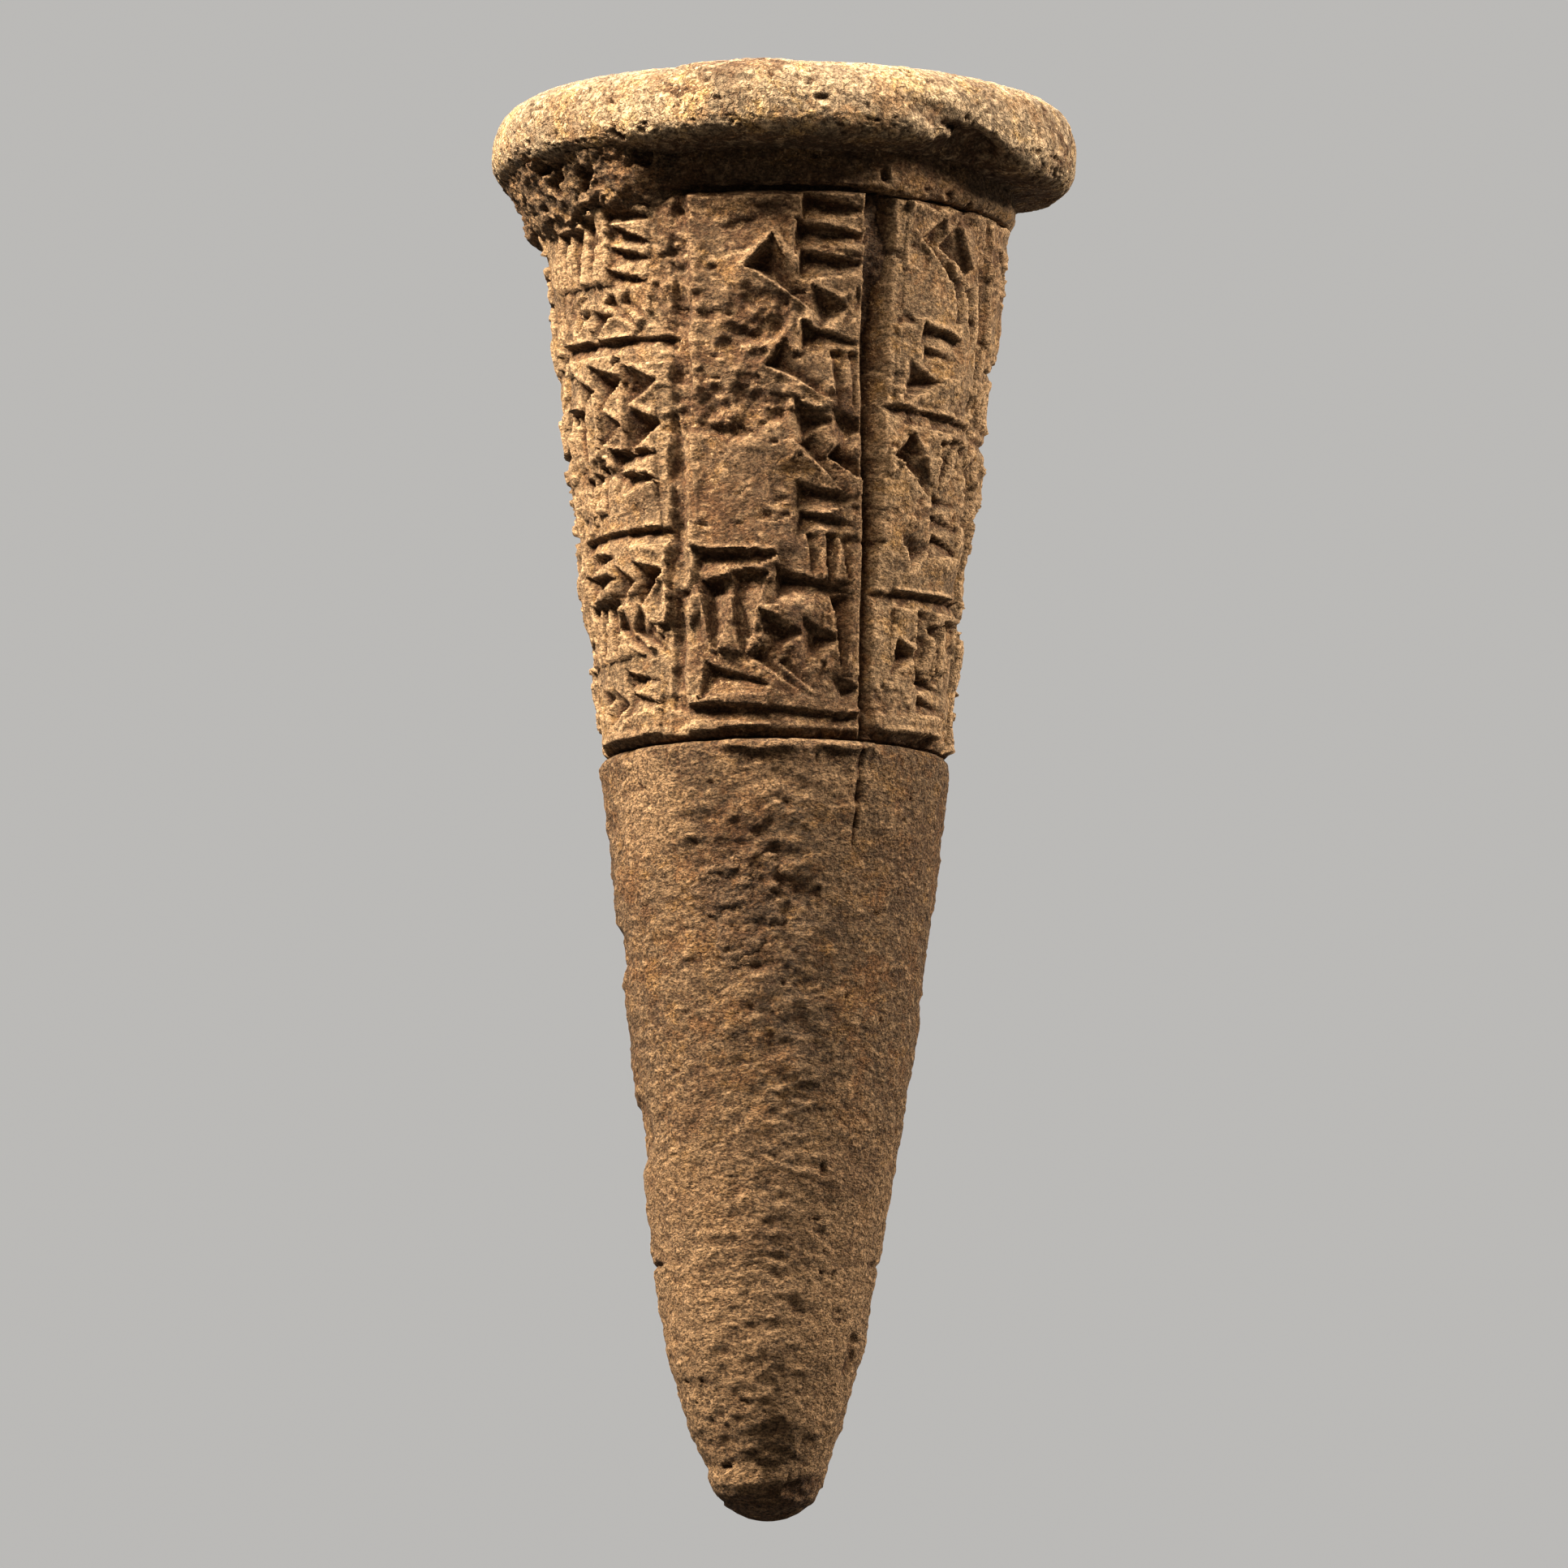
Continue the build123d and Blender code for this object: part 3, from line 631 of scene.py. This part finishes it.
def shaft_height(points):
    """Height of the plain shaft's face above the smooth cone."""
    shape = bpy.context.scene.cone_shape
    place = round_place(points)
    turn, depth, radius = place
    outside = radius > 0.8 * peg_radius(depth)
    wobble = 1.5 * rough(points, (9, 9, 14), 51, 3) + 0.5 * rough(points, 3.2, 52, 3)
    height = shape.face_wobble / MM * wobble
    height += shape.grit / MM * (3.0 * rough(points, (1.4, 1.4, 0.8), 53, 3) + 0.5 * lumps(points, 0.5, 54))
    scaly = 0.2 + 0.8 * step_up(rough(points, 14.0, 60, 2), -0.35, 0.2)
    height += 0.13 * scaly * scales(points, (2.7, 2.7, 1.5), 61) + 0.13 * scales(points, (1.4, 1.4, 0.9), 66)
    grown = patch(place, CRUST_PLACE, (7.5, 9.5), 0.6 * rough(points, 3.4, 55, 4))
    flaky = 0.3 * scales(points, (3.4, 3.4, 1.8), 56) + 0.26 * scales(points, (1.3, 1.3, 0.9), 67)
    height += grown * (flaky - 0.35)
    smear = patch(place, (-4, 64.3), (5.0, 1.3), 0.5 * rough(points, 1.6, 68, 3))
    smear = np.maximum(smear, patch(place, (25, 64.2), (3.5, 1.1), 0.5 * rough(points, 1.4, 69, 3)))
    height += 0.6 * smear
    height -= 0.55 * patch(place, (-92, 82.5), (6.0, 3.2))
    height -= 0.5 * patch(place, (-88, 100.0), (6.0, 4.0))
    crack = np.abs(np.radians(turn - 30.2 + 0.15 * (depth - 64)) * radius + 0.10 * rough(points, 2.0, 57, 2))
    height -= np.clip(0.55 - crack * 1.9, 0, 0.55) * (1 - step_up(depth, 72.0, 75.5))
    for mark, reach, foot in ((-34.0, 0.30, 69.0), (-38.5, 0.22, 67.5), (34.0, 0.2, 68.0)):
        near = np.abs(np.radians(turn - mark) * radius)
        height -= np.clip(reach - near, 0, reach) * (1 - step_up(depth, foot - 2, foot))
    height -= 1.5 * np.clip(rough(points, 1.0, 58, 2) - 0.58, 0, 1)
    open_seam = patch(place, (-90, SEAM), (5.5, 4)) + 0.8 * patch(place, (86, SEAM + 1), (4.5, 4))
    height -= 0.5 * np.clip(0.9 - np.abs(depth - SEAM) / 0.6, 0, 1) * open_seam
    soil = 0.6 * grown + 0.6 * step_up(rough(points, 8.0, 59, 4), 0.05, 0.4)
    pale = 0.5 * patch(place, (-52, 70.0), (6.5, 6.5), 0.4 * rough(points, 2.5, 63, 4))
    pale += 0.6 * patch(place, (22, 118.0), (9.0, 12.0), 0.4 * rough(points, 3.5, 64, 4))
    pale += 0.4 * patch(place, (8, 67.0), (9.0, 4.5), 0.4 * rough(points, 2.5, 65, 4))
    pale += 0.45 * step_up(depth, 88, 112)
    return np.where(outside, height, 0), soil, pale


class CONE_OT_shaft(bpy.types.Operator):
    """Models the plain shaft and the blunt tip below it"""

    bl_idname = "cone.shaft"
    bl_label = "Shaft and tip"

    def execute(self, context):
        top = FIELD_FOOT + 0.1
        shoulder = 0.9
        radius_top = peg_radius(top)
        outline = [(0, top + 0.2, 0), (radius_top - shoulder - 0.4, top + 0.05, 0)]
        outline += arc((radius_top - shoulder, top + shoulder), shoulder, -90, 0, 4, cuts_after=25)
        middle = PEG_DEPTHS[2]
        outline += [(peg_radius(middle), middle, 22), (peg_radius(SEAM), SEAM, 0), (0, SEAM, 0)]
        shaft = turned("plain_shaft", outline, 96, closed=False)
        sculpt(shaft, shaft_height, straight_to=PEG_END)
        move(shaft, lean)
        dress(shaft, "shaft_clay", "shaft_core")

        nose = arc((0, PEG_END - NOSE_RADIUS), NOSE_RADIUS, 25, 90, 7)
        nose[-1] = (0, PEG_END, 0)
        flank = [(peg_radius(d), d, cuts) for d, cuts in ((SEAM, 8), (121.0, 6), (128.0, 3), (132.0, 0))]
        tip = turned("blunt_tip", [(0, SEAM, 0)] + flank + nose, 75, closed=False)
        sculpt(tip, tip_height, straight_to=SEAM + 6)
        move(tip, lean)
        dress(tip, "shaft_clay", "shaft_tip")
        return {"FINISHED"}


def tip_height(points):
    """Height of the tip's face above its smooth form."""
    height, soil, pale = shaft_height(points)
    place = round_place(points)
    depth = place[1]
    flaked = step_up(depth + 0.35 * points[:, 0] + 0.8 * rough(points, 3.0, 71, 2), 133.8, 134.8)
    flaked *= step_up(-points[:, 1] + 1.5, 0, 2)
    height = height - 0.55 * flaked * (1 + 0.5 * rough(points, 1.4, 72, 3))
    mark = patch(place, (62, 121.5), (1.0, 2.4), 0.3 * rough(points, 1.0, 73, 2))
    height -= 0.45 * mark
    # Painted shade under the nose: its underside is given soil colour.
    under = step_up(depth + 0.6 * rough(points, 3.0, 74, 2), 133.6, 135.4)
    return height, soil * 0.4 + 0.9 * flaked + 0.9 * mark + 1.0 * under, pale


def head_height(points):
    """Height of the rim and the head's top above their smooth form."""
    shape = bpy.context.scene.cone_shape
    place = round_place(points, HEAD_OFFSET)
    turn, depth, radius = place
    rim = step_up(radius, DISC_RADIUS + 1, DISC_RADIUS + 4)
    wobble = 0.9 * rough(points, 14.0, 81, 2) + 0.5 * rough(points, 5.0, 82, 3)
    top = 1 - step_up(depth, 0.5, 2.5)
    height = shape.rim_wobble / MM * (wobble - 0.5 * top * rim) * (0.4 + 0.6 * rim) * (1 - 0.5 * top)
    outer = step_up(radius, 22.5, 25.5)
    lower = step_up(depth, 2.0, 7.0)
    height += shape.grit / MM * (1.0 * rough(points, 1.1, 83, 2) + 0.7 * lumps(points, 0.5, 84))
    pitted = (0.35 + 0.65 * lower) * outer
    worms = 1 - np.abs(rough(points, (0.75, 0.75, 0.6), 85, 2)) * 6
    height -= 0.2 * np.clip(worms, 0, 1) * pitted * step_up(rough(points, 3.0, 93, 2), -0.4, 0.1)
    pores = np.clip(rough(points, (0.8, 0.8, 0.65), 94, 2) - 0.36, 0, 1)
    height -= 1.3 * pores * (0.4 + 0.6 * rim)
    slanting = (turn - NOTCH_SLANT * (depth - NOTCH_PLACE[1]), depth, radius)
    gouge = patch(slanting, NOTCH_PLACE, (5.2, 4.2), 0.2 * rough(points, 2.6, 86, 3))
    pit = patch(slanting, (43, 8.6), (3.7, 3.4), 0.2 * rough(points, 2.0, 95, 3))
    height -= (0.55 * gouge + 1.3 * pit) * outer
    height += 0.6 * patch(place, (66, 7.4), (6.5, 4.0)) * outer
    flakes = step_up(rough(points, 3.0, 87, 3), 0.10, 0.16) * patch(place, (71, 3.6), (13, 4.5))
    height -= 0.12 * flakes * outer
    lifted = patch(place, (-10, 0.8), (6.5, 1.9), 0.25 * rough(points, 2.0, 88, 2))
    height += 0.3 * lifted
    seam = np.clip(1 - np.abs(radius - DISC_RADIUS - 0.6 * rough(points, 9, 89, 2)) / 0.5, 0, 1)
    height -= 0.18 * seam * (depth < 1.5) * step_up(rough(points, 6, 90, 2), -0.2, 0.3)
    stain = patch(place, (-22, 3.6), (2.4, 0.9), 0.3 * rough(points, 1.5, 91, 2))
    height -= 0.15 * stain
    # The gouge and the pit get soil colour, which also paints shade into them.
    soil = (0.5 * gouge + 0.9 * pit) * outer + 1.1 * flakes + 0.85 * stain + 0.9 * lifted
    soil += 0.6 * step_up(rough(points, (6, 6, 3.5), 92, 4), 0.06, 0.3) * (0.4 + 0.6 * outer)
    # Painted shade under the rim: soil colour darkens the underside near the rim's foot.
    soil += 1.0 * step_up(depth, RIM_FOOT - 1.5, RIM_FOOT - 0.8) * (radius > 20)
    return height, soil


class CONE_OT_head(bpy.types.Operator):
    """Models the thick rolled rim and the flat middle of the head"""

    bl_idname = "cone.head"
    bl_label = "Head"

    def execute(self, context):
        bore = DISC_RADIUS + 0.05
        middle_depth = 0.12
        upper = 4.8
        lower = 2.2
        lip_depth = RIM_FOOT - 1.0
        outline = [(bore, RIM_TOP, 3)]
        outline += arc((HEAD_RADIUS - upper, RIM_TOP + upper), upper, -88, -4, 10)
        outline += arc((HEAD_RADIUS - lower, lip_depth - lower), lower, 4, 72, 6, cuts_after=5)
        outline += [(NECK_RADIUS - 1.0, RIM_FOOT - 0.4, 0), (bore, RIM_FOOT, 1)]
        rim = turned("rolled_rim", outline, 176)
        move(rim, shift_head)
        sculpt(rim, head_height)
        move(rim, sag_rim)
        dress(rim, "head_clay", "rim_coil")

        outline = [(0, middle_depth, 15), (DISC_RADIUS - 0.8, middle_depth, 0)]
        outline += [(DISC_RADIUS, RIM_TOP, 0), (DISC_RADIUS, RIM_FOOT, 0), (0, RIM_FOOT, 0)]
        disc = turned("head_middle", outline, 96, closed=False)
        move(disc, shift_head)
        sculpt(disc, head_height)
        dress(disc, "head_clay", "head_disc")
        return {"FINISHED"}


def shift_head(points):
    """The head's small step off the peg's axis."""
    return points + np.array((HEAD_OFFSET, 0, 0))


def collar_height(points):
    """Height of the collar's face above its smooth form."""
    shape = bpy.context.scene.cone_shape
    place = round_place(points)
    turn, _, radius = place
    outside = radius > NECK_RADIUS - 1.5
    proud = 0.25 - 0.75 * patch(place, (-2, COLLAR_FOOT), (13, 40))
    height = proud + shape.face_wobble / MM * (1.2 * rough(points, 5.0, 101, 3))
    height += shape.grit / MM * (1.8 * rough(points, 0.9, 102, 2) + 1.2 * lumps(points, 0.34, 103))
    height -= 2.0 * np.clip(rough(points, 1.3, 104, 2) - 0.42, 0, 1)
    # Painted shade of the rim on the collar: soil colour all round, less from 25 to 60 degrees where the
    # collar stands proud into the light.
    soil = 0.75 + 0.4 * rough(points, 5.0, 105, 3) - 0.4 * step_up(turn, 25, 60)
    return np.where(outside, height, 0), soil


class CONE_OT_collar(bpy.types.Operator):
    """Models the smooth band under the rim"""

    bl_idname = "cone.collar"
    bl_label = "Collar"

    def execute(self, context):
        inner_wall = 4.0
        tucked = COLLAR_TOP - 1.2
        outline = [
            (NECK_RADIUS - inner_wall, tucked, 0), (NECK_RADIUS, tucked, 4),
            (NECK_RADIUS, COLLAR_FOOT - 0.5, 0), (NECK_RADIUS - 0.5, COLLAR_FOOT, 0),
            (NECK_RADIUS - inner_wall, COLLAR_FOOT, 0),
        ]
        piece = turned("collar_band", outline, 150)
        sculpt(piece, collar_height)
        dress(piece, "field_clay", "neck_collar")
        return {"FINISHED"}


def luting_height(points):
    """Height of the luting above a thin fillet: it fades at both ends and is deeply pitted."""
    turn, depth, _ = round_place(points)
    low, high = -116.0, -20.0
    ends = step_up(turn, low, low + 12) * (1 - step_up(turn, high - 16, high))
    ragged = rough(points, 2.4, 111, 4)
    foot = 1 - step_up(depth + 2.0 * rough(points, 3.4, 112, 3), 12.6, 15.0)
    height = -1.6 + 1.9 * ends * foot + (0.7 * ragged + 0.9 * scales(points, 2.6, 116)) * ends
    holes = step_up(rough(points, (2.6, 2.6, 2.2), 113, 2), 0.15, 0.45)
    height -= 1.4 * holes * ends
    height += 0.08 * lumps(points, 0.4, 114) + 0.25 * rough(points, 1.0, 115, 2) - 2.0 * (1 - ends)
    soil = 0.45 + 0.5 * ragged + 0.6 * holes
    return height, soil


class CONE_OT_luting(bpy.types.Operator):
    """Models the rough clay pressed under the left of the rim"""

    bl_idname = "cone.luting"
    bl_label = "Luting"

    def execute(self, context):
        top, foot = 8.0, 15.6
        bed = NECK_RADIUS - 2.2
        outline = [
            (bed, top, 0), (NECK_RADIUS + 3.0, top, 11), (NECK_RADIUS - 0.2, foot - 1.0, 1),
            (NECK_RADIUS - 1.2, foot, 0), (bed, foot, 0),
        ]
        piece = turned("luting_clay", outline, 64, -118, 94)
        sculpt(piece, luting_height, 0.7, 0.3, straight_to=PEG_END)
        dress(piece, "luting_clay", "neck_luting")
        return {"FINISHED"}


def groove_soil_height(points):
    """Height of the soil in the wide ruling: lumpy, and thinning out towards its foot."""
    _, depth, radius = round_place(points)
    outside = radius > peg_radius(depth) - 2.4
    thinning = step_up(depth, SOIL_TOP + 4, SOIL_FOOT)
    height = 0.7 * rough(points, 2.0, 121, 4) + 0.08 * lumps(points, 0.35, 122) - 1.1 * thinning
    return np.where(outside, height, 0), 0.7 + 0.4 * rough(points, 1.5, 123, 2)


def along_wide_ruling(points):
    """Turns soil made straight below the ruling's top so that it follows the ruling."""
    turn, depth, radius = round_place(points)
    angle = np.radians(turn + ruling_azimuth(WIDE_RULING, depth) - ruling_azimuth(WIDE_RULING, FIELD_TOP))
    return np.column_stack((radius * np.sin(angle), -radius * np.cos(angle), points[:, 2]))


def crust_height(points):
    """Height of the crust: below the clay's face outside its ragged outline, and lumpy inside it."""
    inside = patch(round_place(points), CRUST_PLACE, (6.4, 8.2), 0.6 * rough(points, 3.0, 131, 4))
    height = -1.6 + 1.35 * inside + 0.5 * scales(points, (2.0, 2.0, 1.2), 132) * inside
    height += 0.05 * lumps(points, 0.35, 133)
    return height, 0.3 + 0.6 * rough(points, 2.0, 134, 3)


class CONE_OT_soil(bpy.types.Operator):
    """Models the soil in the wide ruling and the crust on the front of the shaft"""

    bl_idname = "cone.soil"
    bl_label = "Soil"

    def execute(self, context):
        middle = RULINGS[WIDE_RULING][0]
        sunk = 1.2
        thick = 1.5
        top_depth = SOIL_TOP - 0.1
        top, foot = peg_radius(SOIL_TOP) - sunk, peg_radius(SOIL_FOOT) - sunk
        outline = [
            (top - thick, top_depth, 0), (top, top_depth, 17),
            (foot, SOIL_FOOT, 0), (foot - thick, SOIL_FOOT, 0),
        ]
        soil = turned("ruling_soil", outline, 5, middle - 4.5, 9)
        sculpt(soil, groove_soil_height, straight_to=PEG_END)
        move(soil, along_wide_ruling)
        dress(soil, "soil", "groove_soil")

        bedded = 2.4
        top, foot = peg_radius(CRUST_TOP), peg_radius(CRUST_FOOT)
        outline = [
            (top - bedded, CRUST_TOP, 0), (top, CRUST_TOP, 21),
            (foot, CRUST_FOOT, 0), (foot - bedded, CRUST_FOOT, 0),
        ]
        crust = turned("front_crust", outline, 20, -47, 68)
        sculpt(crust, crust_height, straight_to=PEG_END)
        move(crust, lean)
        dress(crust, "soil", "shaft_crust")
        return {"FINISHED"}


def node_of(tree, kind, inputs=(), **settings):
    """A new node with its settings, and its inputs set to values or linked to other nodes' outputs."""
    node = tree.nodes.new(kind)
    for key, value in settings.items():
        setattr(node, key, value)
    for socket, value in dict(inputs).items():
        if isinstance(value, bpy.types.NodeSocket):
            tree.links.new(value, node.inputs[socket])
        else:
            node.inputs[socket].default_value = value
    return node


def mixed(tree, share, first, second, blend="MIX"):
    """Colour output of a mix of two colours or of what is linked to them."""
    ends = [value if isinstance(value, bpy.types.NodeSocket) else (*value, 1.0) for value in (first, second)]
    node = node_of(
        tree, "ShaderNodeMix", {0: share, 6: ends[0], 7: ends[1]}, data_type="RGBA", blend_type=blend
    )
    return node.outputs[2]


def ranged(tree, value, low, high, to_low=0.0, to_high=1.0):
    """Output of a value moved from one range to another, and held inside it."""
    inputs = {"Value": value, "From Min": low, "From Max": high, "To Min": to_low, "To Max": to_high}
    return node_of(tree, "ShaderNodeMapRange", inputs).outputs[0]


def maths(tree, operation, first, second):
    """Output of a sum, product or the like."""
    return node_of(tree, "ShaderNodeMath", {0: first, 1: second}, operation=operation).outputs[0]


def scaled(colour, factors):
    """A colour made lighter or darker, by one factor or by one for each channel."""
    return tuple(min(1.0, channel * factor) for channel, factor in zip(colour, np.broadcast_to(factors, 3)))


def clay_material(name, body, soil, pale=1.8, flat_grain=1.4, worms=0.3, bump=1.0, speckle=1.0):
    """Fired clay: mottled, granular, pored, with pale worn ridges, and soil colour in its hollows that also
    paints shade there.
    """
    material = bpy.data.materials.new(name)
    material.use_nodes = True
    tree = material.node_tree
    tree.nodes.clear()
    mix, span, calc = (partial(step, tree) for step in (mixed, ranged, maths))
    place = node_of(tree, "ShaderNodeTexCoord").outputs["Object"]
    lying = node_of(tree, "ShaderNodeMapping", {"Vector": place, "Scale": (1.0, 1.0, flat_grain)}).outputs[0]

    def noise(where, size, detail, roughness, kind="FBM"):
        """Noise with lumps of a size in mm."""
        inputs = {"Vector": where, "Scale": 1 / (size * MM), "Detail": detail, "Roughness": roughness}
        return node_of(tree, "ShaderNodeTexNoise", inputs, noise_type=kind).outputs[0]

    clouds = noise(place, 12.0, 6.0, 0.65)
    stains = noise(place, 6.0, 8.0, 0.75)
    ochre = noise(lying, 3.6, 6.0, 0.75)
    mottle = noise(lying, 1.5, 6.0, 0.82)
    grain = noise(lying, 0.34, 3.0, 0.7)
    specks = noise(place, 0.42, 3.0, 0.7)
    crinkle = noise(lying, 1.3, 4.0, 0.7, "RIDGED_MULTIFRACTAL")
    hollow_soil_and_shade, ridge, soil_and_shade = (
        node_of(tree, "ShaderNodeAttribute", attribute_name=stored).outputs["Fac"]
        for stored in ("hollow_soil_and_shade", "ridge", "soil")
    )

    shade = calc("ADD", span(clouds, 0.36, 0.64, 0.0, 0.5), span(mottle, 0.36, 0.64, 0.0, 0.5))
    colour = mix(shade, scaled(body, 0.42), scaled(body, 1.45))
    rusty, golden, greyed = (1.10, 0.84, 0.60), (1.42, 1.24, 0.82), (0.47, 0.46, 0.48)
    rust = noise(place, 4.6, 6.0, 0.75)
    colour = mix(span(rust, 0.51, 0.58, 0.0, 0.7 * speckle), colour, scaled(body, rusty))
    colour = mix(span(ochre, 0.52, 0.62, 0.0, 0.8), colour, scaled(body, golden))
    colour = mix(span(stains, 0.52, 0.60, 0.0, 0.75), colour, scaled(body, greyed))
    worn = calc("MULTIPLY", span(ridge, 0.06, 0.6), span(mottle, 0.30, 0.52, 0.35, 0.95))
    colour = mix(worn, colour, scaled(body, pale))
    # Soil colour in hollows and where the soil attribute is high: real soil, and also painted shade in
    # hollows, on the collar, under the rim, in the gouge and under the nose.
    soil_and_shade_share = calc("MAXIMUM", span(hollow_soil_and_shade, 0.12, 0.85), span(soil_and_shade, 0.25, 0.95, 0.0, 0.9))
    soil_and_shade_share = calc("MULTIPLY", soil_and_shade_share, span(mottle, 0.40, 0.54, 0.25, 1.0))
    colour = mix(soil_and_shade_share, colour, soil)
    colour = mix(span(crinkle, 0.008, 0.0, 0.0, 0.5 * speckle), colour, scaled(soil, 0.8))
    colour = mix(span(crinkle, 0.08, 0.30, 0.0, 0.5 * speckle), colour, scaled(body, 2.0))
    dark, light = 1 - 0.6 * speckle, 1 + 0.65 * speckle
    dark_and_light = mix(span(grain, 0.39, 0.61), (dark,) * 3, (light,) * 3)
    colour = mix(1.0, colour, dark_and_light, "MULTIPLY")
    clustered = calc("MULTIPLY", span(specks, 0.58, 0.64), span(ochre, 0.49, 0.56, 0.1, 0.85))
    colour = mix(clustered, colour, scaled(body, 2.3))
    colour = mix(span(specks, 0.41, 0.35, 0.0, 0.8 * speckle), colour, scaled(soil, 0.6))
    off_middle = calc("ABSOLUTE", calc("SUBTRACT", noise(lying, 1.1, 1.0, 0.5), 0.5), 0.0)
    furrow = calc("MULTIPLY", span(off_middle, 0.0, 0.03, 1.0, 0.0), worms)
    colour = mix(furrow, colour, scaled(soil, 0.7))

    heights = calc("SUBTRACT", calc("MULTIPLY", grain, 1.2), calc("MULTIPLY", furrow, 0.6))
    for source, share in ((specks, 0.8), (crinkle, 2.2), (mottle, 2.2)):
        heights = calc("ADD", heights, calc("MULTIPLY", source, share))
    relief = node_of(
        tree, "ShaderNodeBump", {"Height": heights, "Strength": 1.0, "Distance": 0.00030 * bump}
    ).outputs[0]
    shader = node_of(
        tree, "ShaderNodeBsdfPrincipled",
        {"Base Color": colour, "Roughness": 0.93, "Normal": relief, "Specular IOR Level": 0.22},
    )
    node_of(tree, "ShaderNodeOutputMaterial", {"Surface": shader.outputs[0]})
    return material


def finish(slot):
    """The finish of a material slot, made when it is first asked for."""
    look = bpy.context.scene.cone_colours
    name = slot + "_finish"
    if name in bpy.data.materials:
        return bpy.data.materials[name]
    make = partial(clay_material, name, soil=tuple(look.soil))
    if slot == "head_clay":
        return make(tuple(look.head_clay), pale=1.4, flat_grain=1.0, worms=0.6, speckle=0.75)
    if slot == "field_clay":
        return make(tuple(look.field_clay), worms=0.1, bump=0.85, speckle=0.8)
    if slot == "shaft_clay":
        return make(tuple(look.shaft_clay), flat_grain=1.6, worms=0.2, bump=1.4)
    if slot == "luting_clay":
        return make(scaled(look.field_clay, 0.95), bump=1.5)
    return make(tuple(look.crust), soil=scaled(look.soil, 0.8), bump=1.5)


def dress(piece, slot, node):
    """Gives a piece its finish, sets it in the place of its node and lets it ride on the cone."""
    piece.data.materials.append(finish(slot))
    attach(piece, "root")
    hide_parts(node)


def area_light(name, azimuth, elevation, size, power, colour):
    """A square soft light that looks at the cone from an azimuth and elevation in degrees."""
    lamp = bpy.data.lights.new(name, "AREA")
    lamp.shape = "SQUARE"
    lamp.size = size
    lamp.energy = power
    lamp.color = colour
    turn, rise = math.radians(azimuth), math.radians(elevation)
    away = Vector((math.sin(turn) * math.cos(rise), -math.cos(turn) * math.cos(rise), math.sin(rise)))
    light = placed(name, lamp)
    light.location = LIGHT_TARGET + away * LIGHT_DISTANCE
    light.rotation_euler = away.to_track_quat("Z", "Y").to_euler()


class CONE_OT_stage(bpy.types.Operator):
    """Sets up the plain floor, the soft lights and the camera"""

    bl_idname = "cone.stage"
    bl_label = "Stage"

    def execute(self, context):
        scene = context.scene
        stage = scene.cone_stage
        bm = bmesh.new()
        bmesh.ops.create_circle(bm, cap_ends=True, segments=96, radius=6.0)
        bmesh.ops.translate(bm, verts=bm.verts[:], vec=(0, 0, -stage.floor_drop))
        floor = modelled("floor", bm)
        paint = bpy.data.materials.new("floor")
        paint.use_nodes = True
        shader = paint.node_tree.nodes["Principled BSDF"]
        shader.inputs["Base Color"].default_value = (*scene.cone_colours.floor, 1)
        shader.inputs["Roughness"].default_value = 0.9
        floor.data.materials.append(paint)

        world = bpy.data.worlds.new("surroundings")
        scene.world = world
        world.use_nodes = True
        tree = world.node_tree
        sky = tree.nodes["Background"]
        sky.inputs["Color"].default_value = (1.0, 0.985, 0.96, 1)
        way = node_of(tree, "ShaderNodeTexCoord").outputs["Generated"]
        parts = node_of(tree, "ShaderNodeSeparateXYZ", {"Vector": way})
        wall = ranged(tree, parts.outputs["Y"], -0.3, 0.9, stage.room, stage.backdrop)
        tree.links.new(wall, sky.inputs["Strength"])

        for light in LIGHTS:
            area_light(*light)

        eye = bpy.data.cameras.new("camera")
        camera = placed("camera", eye)
        eye.sensor_width = 36.0
        eye.lens = eye.sensor_width * stage.distance / stage.view_width
        eye.clip_start = 0.05
        eye.clip_end = 12.0
        back = Vector((0, -math.cos(stage.elevation), math.sin(stage.elevation)))
        camera.location = CAMERA_TARGET + back * stage.distance
        camera.rotation_euler = back.to_track_quat("Z", "Y").to_euler()
        scene.camera = camera
        scene.view_settings.view_transform = "Standard"
        scene.view_settings.look = "Medium High Contrast"
        return {"FINISHED"}


MAKERS = (
    CONE_OT_stage,
    CONE_OT_writing_field,
    CONE_OT_shaft,
    CONE_OT_head,
    CONE_OT_collar,
    CONE_OT_luting,
    CONE_OT_soil,
)


class CONE_PT_panel(bpy.types.Panel):
    """Lists the cone's sizes, colours and makers"""

    bl_label = "Foundation cone"
    bl_space_type = "VIEW_3D"
    bl_region_type = "UI"
    bl_category = "Cone"

    def draw(self, context):
        for group in ("cone_shape", "cone_strokes", "cone_colours", "cone_stage"):
            box = self.layout.box()
            settings = getattr(context.scene, group)
            for name in settings.bl_rna.properties.keys():
                if name not in ("rna_type", "name"):
                    box.prop(settings, name)
        for maker in MAKERS:
            self.layout.operator(maker.bl_idname)


SETTINGS = {
    "cone_shape": ConeShape,
    "cone_strokes": ConeStrokes,
    "cone_colours": ConeColours,
    "cone_stage": ConeStage,
}


def register():
    for group in SETTINGS.values():
        bpy.utils.register_class(group)
    for name, group in SETTINGS.items():
        setattr(bpy.types.Scene, name, PointerProperty(type=group))
    for maker in MAKERS + (CONE_PT_panel,):
        bpy.utils.register_class(maker)


def unregister():
    for maker in MAKERS + (CONE_PT_panel,):
        bpy.utils.unregister_class(maker)
    for name, group in SETTINGS.items():
        delattr(bpy.types.Scene, name)
        bpy.utils.unregister_class(group)


def main():
    register()
    for maker in MAKERS:
        group, name = maker.bl_idname.split(".")
        getattr(getattr(bpy.ops, group), name)()


if __name__ == "__main__":
    main()
